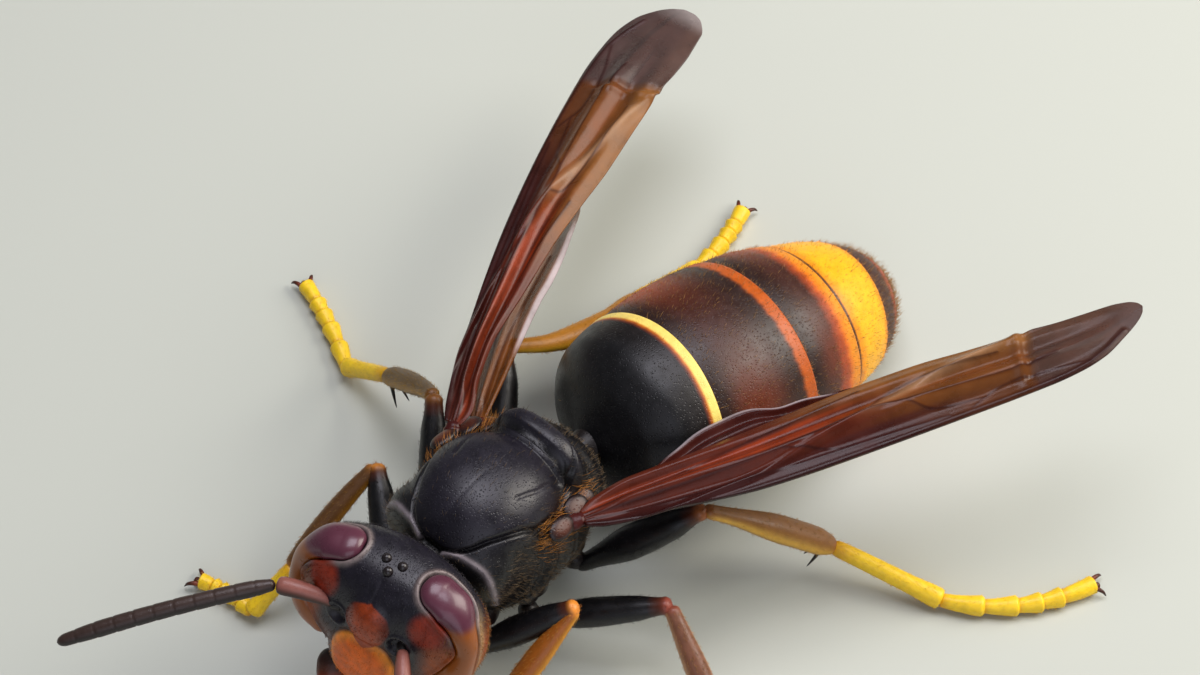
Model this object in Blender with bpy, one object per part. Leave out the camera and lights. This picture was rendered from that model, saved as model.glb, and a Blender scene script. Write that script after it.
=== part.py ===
"""An Asian hornet, the yellow-legged species, as a still, life-size model that stands on its six feet.

The head faces -Y, the hornet's own left is +X and the floor is z = 0. Sizes below are in
millimetres, and every finished mesh is scaled to metres at the end.
"""

import math

import bpy
import numpy as np
from mathutils import Matrix

MM = 0.001
MIDDLE = (0.689, 2.642)  # centre of the stance on the floor, which becomes the origin
GAP = 0.3  # clear space kept between two pieces that meet
SHEET = 0.5  # thickness of a wing, vein ridges apart

# Stance: where the three parts of the trunk sit and how they are turned, in degrees
THORAX_HEIGHT = 4.97
THORAX_TURN = (-6.0, 1.0, 0.0)
HEAD_CENTRE = (0.26, -5.3, 5.89)
HEAD_TURN = (-8.3, 1.6, 9.8)
PETIOLE = (0.0, 3.75, 3.98)
GASTER_TURN = (-10.4, 0.0, -8.6)

# Head, measured in its own frame from its centre
HEAD_HALF = (3.28, 1.5, 2.3)
HEAD_FULLNESS = 2.5
FACE = (  # centre, half sizes, segments, rings and fullness of each swelling of the face
    ((0, -1.08, -1.3), (1.2, 0.64, 1.15), 14, 8, 2.4),
    ((0, -1.12, 0.6), (0.7, 0.58, 0.85), 12, 6, 2.1),
    ((0, -0.7, -2.1), (1.5, 0.7, 0.45), 14, 6, 2.3),
    ((0, 0.55, 1.3), (1.9, 0.9, 0.92), 16, 8, 2.2),
)
NECK = ((0, 1.0, -0.1), (0, 1.72, -0.12))
OCELLI = ((-0.33, 0.12, 2.16), (0.33, 0.12, 2.16), (0.0, -0.27, 2.12))
OCELLUS_HALF = (0.17, 0.17, 0.16)
JAW = ((1.3, -0.9, -2.65), (1.22, -1.15, -3.05), (0.9, -1.4, -3.5), (0.45, -1.55, -3.9))
JAW_RADIUS = (0.5, 0.48, 0.4, 0.16)
TOOTH = (0.5, -0.05, 0.12)  # how far a tooth of the jaw reaches in, forward and up
EYE_PATH = ((1.72, 1.5), (2.3, 1.02), (2.66, 0.15), (2.52, -0.8), (2.12, -1.62))
EYE_WIDTH = (0.64, 0.7, 0.52, 0.6, 0.42)
EYE_DEPTH = (0.78, 0.98, 0.92, 0.86, 0.55)
EYE_BACK = -0.42
EYE_RINGS = 7
SOCKET = (0.92, -1.5, 0.5)

# Antennae: elbow and tip of each, in the room
ANTENNA = {
    "right": ((-2.18, -7.22, 7.0), (-6.75, -12.9, 5.5)),
    "left": ((3.05, -7.75, 5.75), (6.1, -14.2, 4.1)),
}
SCAPE_RADIUS = 0.26
FLAGELLUM_RADIUS = 0.25

# Thorax: places along y of its loft, each with half width, top, bottom and level of its widest part
THORAX_STATIONS = (
    (-3.35, 1.4, 1.0, -1.1, 0.1), (-3.0, 2.05, 1.5, -1.8, 0.0), (-2.3, 2.5, 1.95, -2.4, 0.1),
    (-1.2, 2.68, 2.1, -2.65, 0.3), (0.0, 2.7, 2.1, -2.7, 0.3), (1.0, 2.55, 1.95, -2.55, 0.1),
    (2.0, 2.15, 1.35, -2.35, -0.1), (2.75, 1.8, 0.75, -2.0, -0.3), (3.2, 1.3, 0.25, -1.5, -0.5),
    (3.45, 0.75, -0.2, -1.1, -0.6),
)
BACK = (  # centre, half sizes, segments, rings and fullness: scutum, collar, scutellum, the two behind
    ((0, -0.85, 1.0), (2.25, 2.3, 1.9), 20, 12, 2.2),
    ((0, -2.3, 0.55), (2.55, 1.2, 1.55), 20, 10, 2.3),
    ((0, 1.72, 1.25), (1.7, 0.68, 1.5), 18, 8, 2.4),
    ((0, 2.4, 0.75), (1.5, 0.4, 1.15), 14, 8, 2.4),
    ((0, 2.5, -0.45), (1.85, 1.05, 1.45), 16, 8, 2.2),
)
TEGULA = ((2.62, 0.1, 1.42), (0.5, 0.78, 0.38))
TEGULA_LEAN = 28.0
COLLAR_STUB = ((0, -2.9, 0.35), (0, -3.55, 0.38))
WAIST_STUB = ((0, 2.9, -0.72), (0, 3.42, -0.6))
WING_SEAT = (1.75, -0.75, -0.25)  # inner end of a wing's base: x, then y and z from the wing's root

# Gaster: (distance along its axis, half width) of its outline, then the rear edges of its plates
GASTER_OUTLINE = (
    (0.0, 0.5), (0.3, 1.1), (0.9, 2.45), (1.8, 3.25), (3.24, 3.58), (5.4, 3.75), (7.55, 3.6),
    (9.71, 3.12), (11.65, 2.5), (13.0, 1.8), (14.0, 0.95), (14.4, 0.35),
)
PLATE_REARS = (3.24, 7.55, 9.71, 11.65, 13.1, 14.4)
PLATE_STEP = 0.13
GASTER_UPPER = 0.935
GASTER_LOWER = ((0, 1.0), (1.2, 0.8), (3.2, 0.62), (9, 0.55), (12.8, 0.72), (14.4, 0.9))

# Legs: end of the coxa in the thorax's frame, then knee, ankle, heel and claw joint in the room
LEGS = {
    "front_left": (
        (1.5, -2.65, -2.65), (3.95, -0.75, 4.25), (3.6, -3.6, 1.95),
        (3.6, -5.1, 0.36), (4.4, -7.6, 0.3),
    ),
    "front_right": (
        (-1.5, -2.65, -2.65), (-4.6, -0.85, 3.85), (-4.87, -4.7, 1.9),
        (-5.42, -6.16, 0.36), (-7.55, -6.4, 0.3),
    ),
    "mid_left": (
        (1.9, -0.4, -2.9), (5.75, 1.75, 3.2), (8.93, 0.52, 1.1),
        (11.1, -0.4, 0.36), (14.3, -1.6, 0.3),
    ),
    "mid_right": (
        (-1.9, -0.4, -2.9), (-4.7, 2.05, 4.6), (-7.7, 2.92, 1.95),
        (-9.8, 3.0, 0.36), (-13.3, 4.62, 0.3),
    ),
    "hind_left": (
        (1.7, 2.0, -2.8), (4.85, 4.43, 4.75), (7.64, 7.9, 1.38),
        (11.31, 9.18, 0.36), (14.65, 13.0, 0.3),
    ),
    "hind_right": (
        (-1.7, 2.0, -2.8), (-4.72, 5.59, 3.6), (-3.45, 10.9, 2.0),
        (-3.45, 14.2, 0.36), (-3.95, 17.25, 0.3),
    ),
}
COXA_ROOT = {"front": (0.95, -1.95, -1.3), "mid": (1.2, -0.1, -1.5), "hind": (1.05, 1.55, -1.4)}
COXA_RADIUS = 0.5
FEMUR_RADIUS = {"front": 0.46, "mid": 0.46, "hind": 0.5}
TIBIA_RADIUS = {"front": 0.38, "mid": 0.4, "hind": 0.46}
TARSUS_RADIUS = {"front": 0.27, "mid": 0.28, "hind": 0.31}
KNEE_RADIUS = 0.28
BEND = 0.42  # radius of the bend at a knee
GROUND_HALF = 40.0
GROUND_DEPTH = 3.0
TOE_BOW = {"hind_left": 0.5}  # how far the toes swing out sideways between heel and claws

# Wings: root in the thorax's frame, tip in the room
FOREWING = {
    "left": ((2.95, 1.0, 1.45), (11.85, 18.1, 7.8)),
    "right": ((-2.95, 0.9, 1.45), (-8.1, 19.5, 5.8)),
}
HINDWING = {
    "left": ((2.45, 1.75, 0.95), (5.95, 11.2, 5.95)),
    "right": ((-2.45, 1.65, 0.95), (-6.75, 11.4, 4.75)),
}
WING_TILT = {"left": 1.0, "right": 8.0}
WING_SHIFT = {"left": 0.0, "right": -0.2}  # of the folded edge, towards the trunk
HINDWING_SHIFT = {"left": 0.3, "right": 0.0}
WING_SPREAD = {"left": 0.95, "right": 1.04}  # how wide the folded blade stands open
FOREWING_WIDTH = ((0.0, 1.1), (0.2, 1.5), (0.4, 1.9), (0.62, 2.2), (0.8, 2.2), (0.93, 1.85), (1.0, 0.6))
HINDWING_WIDTH = ((0.0, 0.8), (0.25, 1.4), (0.6, 1.7), (0.85, 1.35), (1.0, 0.45))

# Colour, roughness and metallic value of each finish
FINISH = {
    "black_shell": ((0.012, 0.012, 0.015), 0.35, 0.0),
    "eye": ((0.09, 0.02, 0.02), 0.15, 0.0),
    "orange_shell": ((0.55, 0.13, 0.02), 0.4, 0.0),
    "brown_shell": ((0.08, 0.03, 0.015), 0.45, 0.0),
    "yellow_leg": ((0.75, 0.42, 0.03), 0.45, 0.0),
    "wing": ((0.14, 0.05, 0.025), 0.4, 0.0),
}


def turn(degrees):
    """Rotation matrix: about x first, then y, then z."""
    x, y, z = (math.radians(a) for a in degrees)
    rx = np.array([[1, 0, 0], [0, math.cos(x), -math.sin(x)], [0, math.sin(x), math.cos(x)]])
    ry = np.array([[math.cos(y), 0, math.sin(y)], [0, 1, 0], [-math.sin(y), 0, math.cos(y)]])
    rz = np.array([[math.cos(z), -math.sin(z), 0], [math.sin(z), math.cos(z), 0], [0, 0, 1]])
    return rz @ rx @ ry


def unit(v):
    v = np.asarray(v, float)
    return v / np.linalg.norm(v)


def placed(points, degrees, centre):
    return np.asarray(points, float) @ turn(degrees).T + np.asarray(centre, float)


def in_thorax(points):
    return placed(points, THORAX_TURN, (0.0, 0.0, THORAX_HEIGHT))


def in_head(points):
    return placed(points, HEAD_TURN, HEAD_CENTRE)


def in_gaster(points):
    return placed(points, GASTER_TURN, PETIOLE)


def smooth_through(stations, where):
    """Value of a smooth curve through (place, value) pairs, with slopes that never overshoot."""
    x, y = np.array(stations, float).T
    step = np.diff(x)
    rise = np.diff(y) / step
    slope = np.zeros_like(y)
    same = rise[:-1] * rise[1:] > 0
    pair = np.where(same, rise[:-1] * rise[1:], 1.0)
    slope[1:-1] = np.where(same, 2.0 * pair / np.where(same, rise[:-1] + rise[1:], 1.0), 0.0)
    slope[0], slope[-1] = rise[0], rise[-1]
    where = np.clip(np.asarray(where, float), x[0], x[-1])
    i = np.clip(np.searchsorted(x, where, side="right") - 1, 0, len(step) - 1)
    t = (where - x[i]) / step[i]
    a = y[i] * (1 + 2 * t) * (1 - t) ** 2 + y[i + 1] * t * t * (3 - 2 * t)
    return a + step[i] * (slope[i] * t * (1 - t) ** 2 - slope[i + 1] * t * t * (1 - t))


def skin(rings):
    """Closed surface through equal rings of points, in order, with a fan at each end."""
    rings = np.asarray(rings, float)
    n, m, _ = rings.shape
    points = np.vstack([rings.reshape(-1, 3), rings[0].mean(0), rings[-1].mean(0)])
    faces = []
    for i in range(n - 1):
        for j in range(m):
            a, b = i * m + j, i * m + (j + 1) % m
            faces += [(a, b, b + m), (a, b + m, a + m)]
    for j in range(m):
        k = (j + 1) % m
        faces += [(n * m, k, j), (n * m + 1, (n - 1) * m + j, (n - 1) * m + k)]
    return points, faces


def outward(piece):
    """The same closed piece with its faces pointing out."""
    points, faces = piece
    a, b, c = (points[[f[i] for f in faces]] for i in range(3))
    if np.einsum("ij,ij->i", a, np.cross(b, c)).sum() < 0:
        faces = [f[::-1] for f in faces]
    return points, faces


def blob(centre, half, segments=14, rings=8, power=2.0, degrees=(0, 0, 0)):
    """Rounded block: an ellipsoid whose sections are fuller where power is above 2."""
    lat = np.linspace(-math.pi / 2, math.pi / 2, rings + 1)[1:-1]
    lon = np.arange(segments) * 2 * math.pi / segments

    def eased(v):
        return np.sign(v) * np.abs(v) ** (2.0 / power)

    x = eased(np.cos(lat))[:, None] * eased(np.cos(lon))
    y = eased(np.cos(lat))[:, None] * eased(np.sin(lon))
    z = np.repeat(eased(np.sin(lat))[:, None], segments, 1)
    shell = np.stack([x, y, z], 2) * np.asarray(half, float)
    points, faces = skin(shell)
    points[-2], points[-1] = (0, 0, -half[2]), (0, 0, half[2])
    return outward((placed(points, degrees, centre), faces))


def frames_along(path):
    """Tangent, side and up of each point of a path, turned as little as can be on the way."""
    step = np.diff(path, axis=0)
    step /= np.linalg.norm(step, axis=1)[:, None]
    tangent = np.vstack([step[:1], step[:-1] + step[1:], step[-1:]])
    tangent /= np.linalg.norm(tangent, axis=1)[:, None]
    start = np.cross(tangent[0], (0, 0, 1.0))
    if np.linalg.norm(start) < 0.1:
        start = np.cross(tangent[0], (0, 1.0, 0))
    side = [unit(start)]
    for t in tangent[1:]:
        side.append(unit(side[-1] - np.dot(side[-1], t) * t))
    side = np.array(side)
    return tangent, side, np.cross(side, tangent)


def tube(path, radii, sides=8, flat=1.0):
    """Round bar along a path. Flat below 1 presses it in the up direction."""
    path = np.asarray(path, float)
    _, side, up = frames_along(path)
    angle = np.arange(sides) * 2 * math.pi / sides
    across = np.cos(angle)[None, :, None] * side[:, None, :]
    above = flat * np.sin(angle)[None, :, None] * up[:, None, :]
    radii = np.asarray(radii, float)[:, None, None]
    return outward(skin(path[:, None, :] + (across + above) * radii))


def mesh_object(name, piece):
    points, faces = piece
    mesh = bpy.data.meshes.new(name)
    mesh.from_pydata([tuple(p) for p in points], [], faces)
    obj = bpy.data.objects.new(name, mesh)
    bpy.context.scene.collection.objects.link(obj)
    return obj


def largest_surface(points, faces):
    """The closed surface that takes up most room, of those a union left."""
    parent = list(range(len(points)))

    def root(i):
        while parent[i] != i:
            parent[i] = parent[parent[i]]
            i = parent[i]
        return i

    for f in faces:
        for i in f[1:]:
            parent[root(i)] = root(f[0])
    groups = {}
    for f in faces:
        groups.setdefault(root(f[0]), []).append(f)

    def room(group):
        used = points[sorted({i for f in group for i in f})]
        return float(np.prod(np.ptp(used, axis=0)))

    kept = max(groups.values(), key=room)
    order = {old: new for new, old in enumerate(sorted({i for f in kept for i in f}))}
    return points[sorted(order)], [tuple(order[i] for i in f) for f in kept]


def evaluated(obj):
    """Points and triangles of an object once its modifiers have run."""
    graph = bpy.context.evaluated_depsgraph_get()
    mesh = obj.evaluated_get(graph).to_mesh()
    mesh.calc_loop_triangles()
    points = np.array([v.co[:] for v in mesh.vertices])
    faces = [tuple(t.vertices) for t in mesh.loop_triangles]
    return points, faces


def boolean(piece, others, operation):
    """One union with, or difference from, a collection of closed pieces."""
    group = bpy.data.collections.new("pieces")
    bpy.context.scene.collection.children.link(group)
    base = mesh_object("base", piece)
    made = [base]
    for other in others:
        obj = mesh_object("piece", other)
        bpy.context.scene.collection.objects.unlink(obj)
        group.objects.link(obj)
        made.append(obj)
    modifier = base.modifiers.new("Join", "BOOLEAN")
    modifier.operation = operation
    modifier.operand_type = "COLLECTION"
    modifier.collection = group
    modifier.solver = "EXACT"
    result = largest_surface(*evaluated(base))
    for obj in made:
        mesh = obj.data
        bpy.data.objects.remove(obj)
        bpy.data.meshes.remove(mesh)
    bpy.data.collections.remove(group)
    return result


def joined(pieces):
    return pieces[0] if len(pieces) == 1 else boolean(pieces[0], pieces[1:], "UNION")


def materials():
    made = {}
    for name, (colour, roughness, metallic) in FINISH.items():
        material = bpy.data.materials.new(name)
        material.use_nodes = True
        shader = material.node_tree.nodes["Principled BSDF"]
        shader.inputs["Base Color"].default_value = (*colour, 1.0)
        shader.inputs["Roughness"].default_value = roughness
        shader.inputs["Metallic"].default_value = metallic
        made[name] = material
    return made


def node(name, piece, material):
    """One finished, smooth-shaded object in metres."""
    obj = mesh_object(name, piece)
    centred = Matrix.Translation((-MIDDLE[0], -MIDDLE[1], 0.0))
    obj.data.transform(Matrix.Scale(MM, 4) @ centred)
    obj.data.materials.append(material)
    obj.data.shade_smooth()
    obj.data.set_sharp_from_angle(angle=math.radians(50))
    return obj


# Trunk


def thorax():
    """Pleurae and propodeum in one loft, with the plates of the back, the coxae and wing bases on it."""
    sides = 26
    angle = np.arange(sides) * 2 * math.pi / sides
    rings = []
    for y, half, top, bottom, middle in THORAX_STATIONS:
        up = np.sin(angle)
        width = np.sign(np.cos(angle)) * np.abs(np.cos(angle)) ** 0.92
        pinch = np.where(up < 0, 1.0 - 0.2 * up * up, 1.0)
        z = np.where(up > 0, middle + (top - middle) * up, middle + (middle - bottom) * up)
        rings.append(np.stack([half * width * pinch, np.full(sides, y), z], 1))
    body = outward(skin(rings))
    pieces = [blob(*plate) for plate in BACK]
    pieces += [tube(COLLAR_STUB, (0.75, 0.6), 10), tube(WAIST_STUB, (0.75, 0.5), 10)]
    centre, half = TEGULA
    for side in (-1, 1):
        place = (side * centre[0], centre[1], centre[2])
        pieces.append(blob(place, half, 10, 6, 2.2, (0, side * TEGULA_LEAN, 0)))
        for rank, root in COXA_ROOT.items():
            end = LEGS[f"{rank}_{'left' if side > 0 else 'right'}"][0]
            start = np.array((side * root[0], root[1], root[2]))
            middle = (start + np.array(end)) / 2
            pieces.append(tube([start, middle, end], (0.75, 0.68, COXA_RADIUS), 10))
    pieces = [(in_thorax(points), faces) for points, faces in pieces]
    for side, wings in (("left", 1), ("right", -1)):
        for wing, spread in ((FOREWING, 0.42), (HINDWING, 0.36)):
            seat, tip = wing[side]
            root = in_thorax(seat)
            along = unit(np.array(tip) - root)
            inner = in_thorax((wings * WING_SEAT[0], seat[1] + WING_SEAT[1], seat[2] + WING_SEAT[2]))
            end = root - GAP * along
            pieces.append(tube([inner, end - 0.35 * along, end], (0.42, 0.42, spread), 8, 0.75))
    return joined([(in_thorax(body[0]), body[1])] + pieces)


def gaster():
    """Waist and six plates, each slipped under the one before it, as rings along the axis."""
    sides = 24
    angle = np.arange(sides) * 2 * math.pi / sides
    places = []
    front = 0.0
    for k, rear in enumerate(PLATE_REARS):
        inner = np.array([0.0, 0.12, 0.35, 0.62, 0.86]) if k else np.linspace(0, 0.93, 9) ** 1.3
        for t in inner:
            inset = PLATE_STEP * (1 - t) ** 2 if k else 0.0
            places.append((front + 0.03 * (k > 0) + t * (rear - front), inset))
        places.append((rear - 0.04, 0.0))
        front = rear
    rings = []
    for d, inset in places:
        half = float(smooth_through(GASTER_OUTLINE, d)) - inset
        lower = float(smooth_through(GASTER_LOWER, d))
        up = np.cos(angle)
        z = half * np.where(up > 0, GASTER_UPPER, lower) * up
        rings.append(np.stack([half * np.sin(angle), np.full(sides, d + GAP), z], 1))
    points, faces = outward(skin(rings))
    return in_gaster(points), faces


# Head


def eye(side, grow=0.0):
    """Kidney-shaped lens: a bent, flattened capsule, larger all round by grow."""
    t = np.linspace(0, 1, EYE_RINGS)
    knots = np.linspace(0, 1, len(EYE_PATH))
    x = smooth_through(np.stack([knots, [p[0] for p in EYE_PATH]], 1), t)
    z = smooth_through(np.stack([knots, [p[1] for p in EYE_PATH]], 1), t)
    wide = smooth_through(np.stack([knots, EYE_WIDTH], 1), t)
    deep = smooth_through(np.stack([knots, EYE_DEPTH], 1), t)
    path = np.stack([x, np.full(EYE_RINGS, EYE_BACK), z], 1)
    tangent = np.gradient(path, axis=0)
    tangent /= np.linalg.norm(tangent, axis=1)[:, None]
    across = np.stack([-tangent[:, 2], np.zeros(EYE_RINGS), tangent[:, 0]], 1)
    # Each end closes over a half capsule
    cap = np.array((0.3, 0.62, 0.86))
    round_in = np.sqrt(1 - (1 - cap) ** 2)
    ends = []
    for i, sign in ((0, -1), (EYE_RINGS - 1, 1)):
        for c, r in zip(cap, round_in):
            shift = sign * tangent[i] * (1 - c) * (wide[i] + grow)
            ends.append((path[i] + shift, across[i], (wide[i] + grow) * r, (deep[i] + grow) * r))
    body = [(path[i], across[i], wide[i] + grow, deep[i] + grow) for i in range(EYE_RINGS)]
    order = ends[:3] + body + ends[3:][::-1]
    angle = np.arange(12) * 2 * math.pi / 12
    rings = [
        c + np.cos(angle)[:, None] * a * w + np.sin(angle)[:, None] * np.array((0, d, 0))
        for c, a, w, d in order
    ]
    points, faces = skin(rings)
    points = points * np.array((side, 1, 1))
    return outward((in_head(points), faces))


def head():
    """Capsule of the head with its face plate, brow, ocelli and antennal sockets, cut for the eyes."""
    pieces = [blob((0, 0.15, -0.05), HEAD_HALF, 26, 14, HEAD_FULLNESS)]
    pieces += [blob(*swelling) for swelling in FACE]
    pieces.append(tube(NECK, (0.85, 0.6), 10))
    pieces += [blob(place, OCELLUS_HALF, 8, 4) for place in OCELLI]
    for side in (-1, 1):
        x, y, z = SOCKET
        pieces.append(tube([(side * x, y + 0.7, z), (side * x, y + 0.05, z)], (0.42, 0.34), 10))
    shell = joined([(in_head(points), faces) for points, faces in pieces])
    return boolean(shell, [eye(-1, GAP), eye(1, GAP)], "DIFFERENCE")


def mandible(side):
    """Curved jaw, broad at its root and cut into teeth at its tip."""
    path = np.array(JAW) * (side, 1, 1)
    blade = tube(path, JAW_RADIUS, 8, 0.6)
    reach = np.array(TOOTH) * (-side, 1, 1)
    teeth = []
    for t in (0.35, 0.65):
        start = path[2] * (1 - t) + path[3] * t
        teeth.append(tube([start, start + reach], (0.24, 0.05), 5))
    return joined([(in_head(points), faces) for points, faces in [blade] + teeth])


def scape(side):
    name = "left" if side > 0 else "right"
    elbow = np.array(ANTENNA[name][0])
    x, y, z = SOCKET
    root = in_head((side * x, y - 0.25, z))
    out = in_head((side * x, y - 0.65, z))
    along = unit(elbow - out)
    path = [root, out, out + 0.55 * along, (out + elbow) / 2, elbow - 0.25 * along, elbow]
    return tube(path, (0.25, 0.2, 0.25, SCAPE_RADIUS, SCAPE_RADIUS + 0.02, 0.25), 8)


def flagellum(side):
    """Pedicel and ten short joints, each a little wider at its far end."""
    name = "left" if side > 0 else "right"
    elbow, tip = (np.array(p) for p in ANTENNA[name])
    x, y, z = SOCKET
    along = unit(elbow - in_head((side * x, y - 0.65, z)))
    start = elbow + GAP * along
    joints = 11
    t = np.concatenate([[0.0], *[(k + np.array((0.12, 0.92))) / joints for k in range(joints)], [1.0]])
    middle = (start + tip) / 2 + np.array((0, 0, 0.35))
    bend = start + 0.3 * along
    path = (1 - t)[:, None] ** 2 * bend + 2 * (t * (1 - t))[:, None] * middle + (t * t)[:, None] * tip
    path[0] = start
    wide = np.tile((0.92, 1.03), joints)
    radii = FLAGELLUM_RADIUS * np.concatenate([[0.8], wide, [0.55]])
    return tube(path, radii, 8)


# Legs


def bend_at(before, apex, after, radius, gap=0.0):
    """Points that lead into and out of the bend of a limb, which stop half a gap from its apex."""
    u, v = unit(apex - before), unit(after - apex)
    middle = unit(u + v)
    inward = unit(v - u)
    half = math.acos(float(np.clip(np.dot(u, v), -1, 1))) / 2
    first = math.asin(gap / 2 / radius)
    if half < first + 0.15:
        return [apex - (gap / 2 + 0.02) * u], [apex + (gap / 2 + 0.02) * v]
    angle = np.linspace(first, half, 4)
    centre = apex + radius * inward
    lead = radius * np.sin(angle)[:, None] * middle
    sag = radius * np.cos(angle)[:, None] * inward
    return list((centre - lead - sag)[::-1]), list(centre + lead - sag)


def thickened(path, stations):
    """Radius at each point of a path, from (share of its length, radius) pairs."""
    path = np.asarray(path)
    run = np.concatenate([[0.0], np.cumsum(np.linalg.norm(np.diff(path, axis=0), axis=1))])
    return smooth_through(stations, run / run[-1])


def between(start, end, shares):
    return [start + t * (end - start) for t in shares]


def ground():
    """Block below the floor, which cuts the soles flat."""
    corners = ((-1, -1), (1, -1), (1, 1), (-1, 1))
    points = [(GROUND_HALF * x, GROUND_HALF * y, z) for z in (-GROUND_DEPTH, 0.0) for x, y in corners]
    faces = [(0, 3, 2, 1), (4, 5, 6, 7), (0, 1, 5, 4), (1, 2, 6, 5), (2, 3, 7, 6), (3, 0, 4, 7)]
    return np.array(points), faces


def leg(name):
    """Femur with its trochanter, tibia with its spurs, and tarsus with its claws, as three pieces."""
    rank = name.split("_")[0]
    coxa_end, knee, ankle, heel, claw = LEGS[name]
    side = 1 if name.endswith("left") else -1
    root = np.array(COXA_ROOT[rank]) * (side, 1, 1)
    coxa_end, root = in_thorax(coxa_end), in_thorax(root)
    knee, ankle, heel, claw = (np.array(p, float) for p in (knee, ankle, heel, claw))
    down = unit(coxa_end - root)
    start = coxa_end + GAP * down
    hip = start + 0.5 * down
    hip_in, hip_out = bend_at(start, hip, knee, 0.4)
    knee_in, knee_out = bend_at(hip, knee, ankle, BEND, GAP)
    ankle_in, ankle_out = bend_at(knee, ankle, heel, 0.35, GAP)

    shaft = between(hip_out[-1], knee_in[0], (0.25, 0.5, 0.75))
    path = [start, *hip_in[1:], *hip_out[1:], *shaft, *knee_in]
    thick = FEMUR_RADIUS[rank]
    swell = ((0, 0.36), (0.15, 0.33), (0.5, thick), (0.75, thick * 0.9), (1, KNEE_RADIUS))
    femur = tube(path, thickened(path, swell), 8)

    path = [*knee_out, *between(knee_out[-1], ankle_in[0], (0.2, 0.45, 0.7, 0.9)), *ankle_in]
    thick = TIBIA_RADIUS[rank]
    swell = ((0, KNEE_RADIUS), (0.2, 0.28), (0.55, thick), (0.85, thick * 0.95), (1, 0.3))
    tibia = tube(path, thickened(path, swell), 8)
    spurs = []
    shin = unit(ankle - knee)
    sideways = unit(np.cross(shin, (0, 0, 1.0)))
    beneath = unit(np.cross(sideways, shin)) * -1
    for k in ((-1, 1) if rank != "front" else (1,)):
        base = ankle_in[0] - 0.25 * shin + 0.12 * k * sideways
        point = base + 0.45 * shin + 0.75 * beneath + 0.2 * k * sideways
        spurs.append(tube([base, (base + point) / 2, point], (0.22, 0.15, 0.04), 5))
    tibia = joined([tibia] + spurs)

    toe = unit((claw - heel) * (1, 1, 0))
    heel_in, heel_out = bend_at(ankle, heel, claw, 0.6)
    lead = [*ankle_out, *between(ankle_out[-1], heel_in[0], (0.35, 0.75)), *heel_in]
    steps = np.array((0.06, 0.3, 0.34, 0.5, 0.54, 0.66, 0.7, 0.78, 0.82, 0.97))
    outward_way = np.array((toe[1], -toe[0], 0.0))
    bow = TOE_BOW.get(name, 0.12)
    swing = [4 * bow * t * (1 - t) * outward_way for t in steps]
    row = [point + s for point, s in zip(between(heel_out[-1], claw, steps), swing)]
    joints = [*heel_out[1:], *row, claw + 0.15 * toe]
    thick = TARSUS_RADIUS[rank]
    lead_radii = thick * np.linspace(0.88, 1.1, len(lead))
    wide = (0.84, 1.15, 0.84, 1.13, 0.84, 1.1, 0.8, 1.06, 0.78, 1.05, 0.8)
    radii = [*lead_radii, *([thick] * (len(heel_out) - 1)), *(thick * np.array(wide))]
    path = lead + joints
    foot = tube(path, radii, 7)
    extra = []
    sideways = np.array((-toe[1], toe[0], 0.0))
    for k in (-1, 1):
        base = claw + 0.02 * toe + 0.1 * k * sideways
        out = unit(toe + 0.75 * k * sideways)
        hook = [base, base + 0.34 * out + (0, 0, 0.06), base + 0.62 * out, base + 0.78 * out - (0, 0, 0.16)]
        extra.append(tube(hook, (0.2, 0.17, 0.11, 0.03), 4))
    extra.append(blob(claw + 0.2 * toe + (0, 0, -0.14), (0.26, 0.26, 0.2), 7, 4))
    foot = joined([foot] + extra)
    return {"femur": femur, "tibia": tibia, "tarsus": boolean(foot, [ground()], "DIFFERENCE")}


# Wings


def wing(root, tip, inner_side, width_table, fold, rows, ridges, bars):
    """Folded blade: a sheet of even thickness whose veins are ridges raised in both its faces.

    Rows run from root to tip, and columns from the leading edge to the inner edge. The fold is
    (tilt, shift, spread), a ridge is (column, height), and a bar is (row, first column, last
    column) of a cross vein.
    """
    tilt, shift, spread = fold
    along = unit(tip - root)
    flat_inner = unit(np.cross(along, (0, 0, 1.0)) * -inner_side)
    upward = unit(np.cross(flat_inner, along)) * inner_side
    upward = upward if upward[2] > 0 else -upward
    slope = math.radians(tilt)
    inner = math.cos(slope) * flat_inner + math.sin(slope) * upward
    normal = math.cos(slope) * upward - math.sin(slope) * flat_inner
    columns = max(c for c, _ in ridges) + 1
    s = np.linspace(0, 1, rows) ** 0.95
    width = spread * smooth_through(width_table, s)
    length = float(np.linalg.norm(tip - root))
    inner_edge = 0.45 + (0.3 + shift) * np.sin(math.pi * s) - 0.25 * s
    u = np.linspace(0, 1, columns)
    offset = inner_edge[:, None] - width[:, None] * (1 - u)[None, :]
    lift = 0.22 * np.sin(math.pi * u)[None, :] * np.sin(math.pi * np.clip(s, 0.03, 0.97))[:, None]
    for column, height in ridges:
        lift[:, column] += height * (1 - 0.5 * s)
    for row, first, last in bars:
        lift[row, first : last + 1] += 0.09
    half = SHEET / 2 * np.where(s > 0.97, 0.8, 1.0)
    middle = root + (s * length)[:, None, None] * along
    middle = middle + offset[..., None] * inner + lift[..., None] * normal
    top = middle + half[:, None, None] * normal
    low = middle - half[:, None, None] * normal
    points = np.vstack([top.reshape(-1, 3), low.reshape(-1, 3)])
    size = rows * columns
    faces = []
    for i in range(rows - 1):
        for j in range(columns - 1):
            a, b = i * columns + j, i * columns + j + 1
            c, d = b + columns, a + columns
            for face in ((a, b, c), (a, c, d)):
                faces += [face, tuple(v + size for v in face[::-1])]
    edge = list(range(columns))
    edge += [i * columns + columns - 1 for i in range(1, rows)]
    edge += [(rows - 1) * columns + j for j in range(columns - 2, -1, -1)]
    edge += [i * columns for i in range(rows - 2, 0, -1)]
    for a, b in zip(edge, edge[1:] + edge[:1]):
        faces += [(b, a, a + size), (b, a + size, b + size)]
    return outward((points, faces))


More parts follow.
